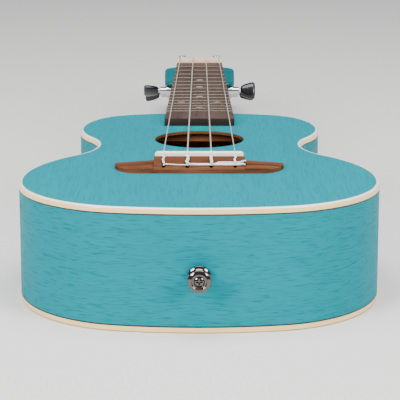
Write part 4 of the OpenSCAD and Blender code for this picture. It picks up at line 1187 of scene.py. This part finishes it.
class UKULELE_OT_tuners(Piece, Operator):
    """Finish the four geared tuners and shape their buttons"""
    bl_idname = "ukulele.tuners"
    bl_label = "Tuners"

    def execute(self, context):
        c, t = settings().colours, settings().tuners
        chrome = polished_metal("Chrome", c.chrome, 0.07)
        steel = polished_metal("Turned steel", c.chrome, 0.16, brushed=0.06)
        plastic = moulded("Black button", c.plastic, 0.24, coat=0.3, mottle=0.2)
        dress([k + "_tuner_housing" for k in STRINGS], chrome, bevel=0.45 * MM, segments=3)
        dress(["tuner_caps", "tuner_bushings", "tuner_screws"], chrome, bevel=0.25 * MM)
        dress([k + "_tuner_post" for k in STRINGS], steel)
        dress([k + "_tuner_worm" for k in STRINGS], steel)
        dress([k + "_button_screw" for k in STRINGS], chrome, bevel=0.1 * MM)
        for key in STRINGS:
            self.button(key, plastic)
        return {"FINISHED"}

    def button(self, key, plastic):
        """A flattened, waisted button, wider towards its outer end."""
        t = settings().tuners
        low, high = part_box(key + "_tuner_button")
        worm_low, worm_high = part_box(key + "_tuner_worm")
        axis_y, axis_z = (worm_low.y + worm_high.y) / 2, (worm_low.z + worm_high.z) / 2
        side = SIDE[key]
        start = low.x if side > 0 else high.x
        spin = math.radians(BUTTON_TURN[key]) + math.pi / 2
        tilt = -taper() - settings().head.angle
        loops = []
        steps, sides, squareness = 18, 40, 0.85
        for k in range(steps + 1):
            u = k / steps
            along_axis = t.button_length * (1 - math.cos(math.pi * u)) / 2
            swell = max(0.02, 1 - abs(2 * u - 1) ** 3.2) ** 0.42
            wide = mix(t.button_root, t.button_width, smooth(u * 1.15)) / 2 * swell
            thick = mix(t.button_thin, t.button_thickness, u) / 2 * swell
            loop = []
            for j in range(sides):
                a = 2 * math.pi * j / sides
                ca, sa = math.cos(a), math.sin(a)
                y, z = turned(wide * math.copysign(abs(ca) ** squareness, ca),
                              thick * math.copysign(abs(sa) ** squareness, sa), spin)
                y, z = turned(y, z, tilt)
                loop.append(Vector((start + side * along_axis, axis_y + y, axis_z + z)))
            loops.append(loop)
        points, faces = rings(loops)
        if side < 0:
            faces = inside_out(faces)
        button = add(key + "_button_moulded", points, faces, plastic, "button_black",
                     body=key + "_button", stands_for=[key + "_tuner_button"], place=Vector)
        screw_low, screw_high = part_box(key + "_button_screw")
        shaft_end = worm_high.x if side > 0 else worm_low.x
        screw_end = screw_high.x if side > 0 else screw_low.x
        under_head, past = screw_end - side * t.screw_head_height, side * MM
        stops = [(start - past, t.shaft), (shaft_end, t.shaft), (shaft_end, t.screw),
                 (under_head, t.screw), (under_head, t.screw_recess),
                 (screw_end + past, t.screw_recess)]
        drill(button, [[(Vector((x, axis_y, axis_z)), r) for x, r in stops]], 32, Vector)
        refine(button)


class UKULELE_OT_strap(Piece, Operator):
    """Finish the strap button with its screw and washer"""
    bl_idname = "ukulele.strap"
    bl_label = "Strap button"

    def execute(self, context):
        c = settings().colours
        # The strap button's darkened metal is a painted dark reflection.
        darkened_chrome = polished_metal("Darkened chrome", c.darkened_chrome, 0.05)
        dress(["strap_button"], darkened_chrome, bevel=0.35 * MM, segments=3)
        dress(["strap_screw"], darkened_chrome, bevel=0.1 * MM)
        dress(["strap_washer"], moulded("Felt washer", c.felt, 0.9, mottle=0.3, grain_scale=1500,
                                        texture=0.0001))
        return {"FINISHED"}


class UKULELE_OT_stage(Piece, Operator):
    """Set the studio floor, the soft lights and the camera"""
    bl_idname = "ukulele.stage"
    bl_label = "Studio"

    def light(self, name, spot, target, width, depth, power):
        lamp = bpy.data.lights.new(name, "AREA")
        lamp.shape = "RECTANGLE"
        lamp.size, lamp.size_y, lamp.energy = width, depth, power
        obj = bpy.data.objects.new(name, lamp)
        bpy.context.scene.collection.objects.link(obj)
        obj.location = spot
        aim = Vector(target) - Vector(spot)
        obj.rotation_euler = aim.to_track_quat("-Z", "Y").to_euler()

    def execute(self, context):
        scene, c = bpy.context.scene, settings().colours
        f = Finish("Studio floor")
        cloud = f.noise(f.place, scale=1.6, detail=2)
        tone = f.blend(cloud, colour(c.floor, 0.97), colour(c.floor, 1.0))
        paper = f.done(Base_Color=tone, Roughness=0.75 + cloud * 0.1)
        mesh = bpy.data.meshes.new("studio_floor")
        reach = 6.0
        mesh.from_pydata([(-reach, -reach, 0), (reach, -reach, 0), (reach, reach, 0),
                          (-reach, reach, 0)], [], [(0, 1, 2, 3)])
        mesh.materials.append(paper)
        floor = bpy.data.objects.new("studio_floor", mesh)
        scene.collection.objects.link(floor)
        floor.location.z = -0.2 * MM

        world = bpy.data.worlds.new("Studio")
        world.use_nodes = True
        scene.world = world
        world.node_tree.nodes["Background"].inputs["Color"].default_value = (0.55, 0.58, 0.62, 1)
        world.node_tree.nodes["Background"].inputs["Strength"].default_value = 0.50
        for lamp in (("Overhead softbox", (0, -0.15, 1.4), (0, -0.05, 0), 1.3, 0.9, 27),
                     ("Overhead strip", (0, -0.42, 1.2), (0, -0.1, 0.05), 1.3, 0.10, 5),
                     ("Left softbox", (-1.1, -1.2, 0.9), (0, -0.05, 0.03), 0.6, 0.6, 30),
                     ("Right softbox", (1.2, -1.1, 0.9), (0, -0.05, 0.03), 0.6, 0.6, 24)):
            self.light(*lamp)

        data = bpy.data.cameras.new("Camera")
        data.sensor_width = 36
        data.lens = 161.66
        data.clip_start, data.clip_end = 0.05, 50
        camera = bpy.data.objects.new("Camera", data)
        scene.collection.objects.link(camera)
        look_down = 0.22713
        camera.location = laid((0.4 * MM, -937.6 * MM, 221.46 * MM))
        camera.rotation_euler = (math.pi / 2 - (look_down + taper()), 0, 0)
        scene.camera = camera
        return {"FINISHED"}


class UKULELE_PT_panel(Panel):
    bl_label = "Concert Ukulele"
    bl_idname = "UKULELE_PT_panel"
    bl_space_type = "VIEW_3D"
    bl_region_type = "UI"
    bl_category = "Ukulele"

    def draw(self, context):
        for operator in OPERATORS:
            self.layout.operator(operator.bl_idname)
        for group in ("body", "bridge", "neck", "head", "strings", "tuners", "colours"):
            box = self.layout.box()
            box.label(text=group.title())
            values = getattr(context.scene.ukulele, group)
            for name in values.bl_rna.properties.keys():
                if name not in ("rna_type", "name"):
                    box.prop(values, name)


GROUPS = (UkuleleBody, UkuleleBridge, UkuleleNeck, UkuleleHead, UkuleleStrings, UkuleleTuners,
          UkuleleColours, UkuleleSettings)
OPERATORS = (UKULELE_OT_trim, UKULELE_OT_body, UKULELE_OT_bridge, UKULELE_OT_neck,
             UKULELE_OT_fingerboard, UKULELE_OT_strings, UKULELE_OT_tuners, UKULELE_OT_strap,
             UKULELE_OT_stage)
CLASSES = GROUPS + OPERATORS + (UKULELE_PT_panel,)


def register():
    for cls in CLASSES:
        bpy.utils.register_class(cls)
    bpy.types.Scene.ukulele = PointerProperty(type=UkuleleSettings)


def unregister():
    del bpy.types.Scene.ukulele
    for cls in reversed(CLASSES):
        bpy.utils.unregister_class(cls)


def main():
    register()
    for operator in OPERATORS:
        getattr(bpy.ops.ukulele, operator.bl_idname.split(".")[1])()


if __name__ == "__main__":
    main()
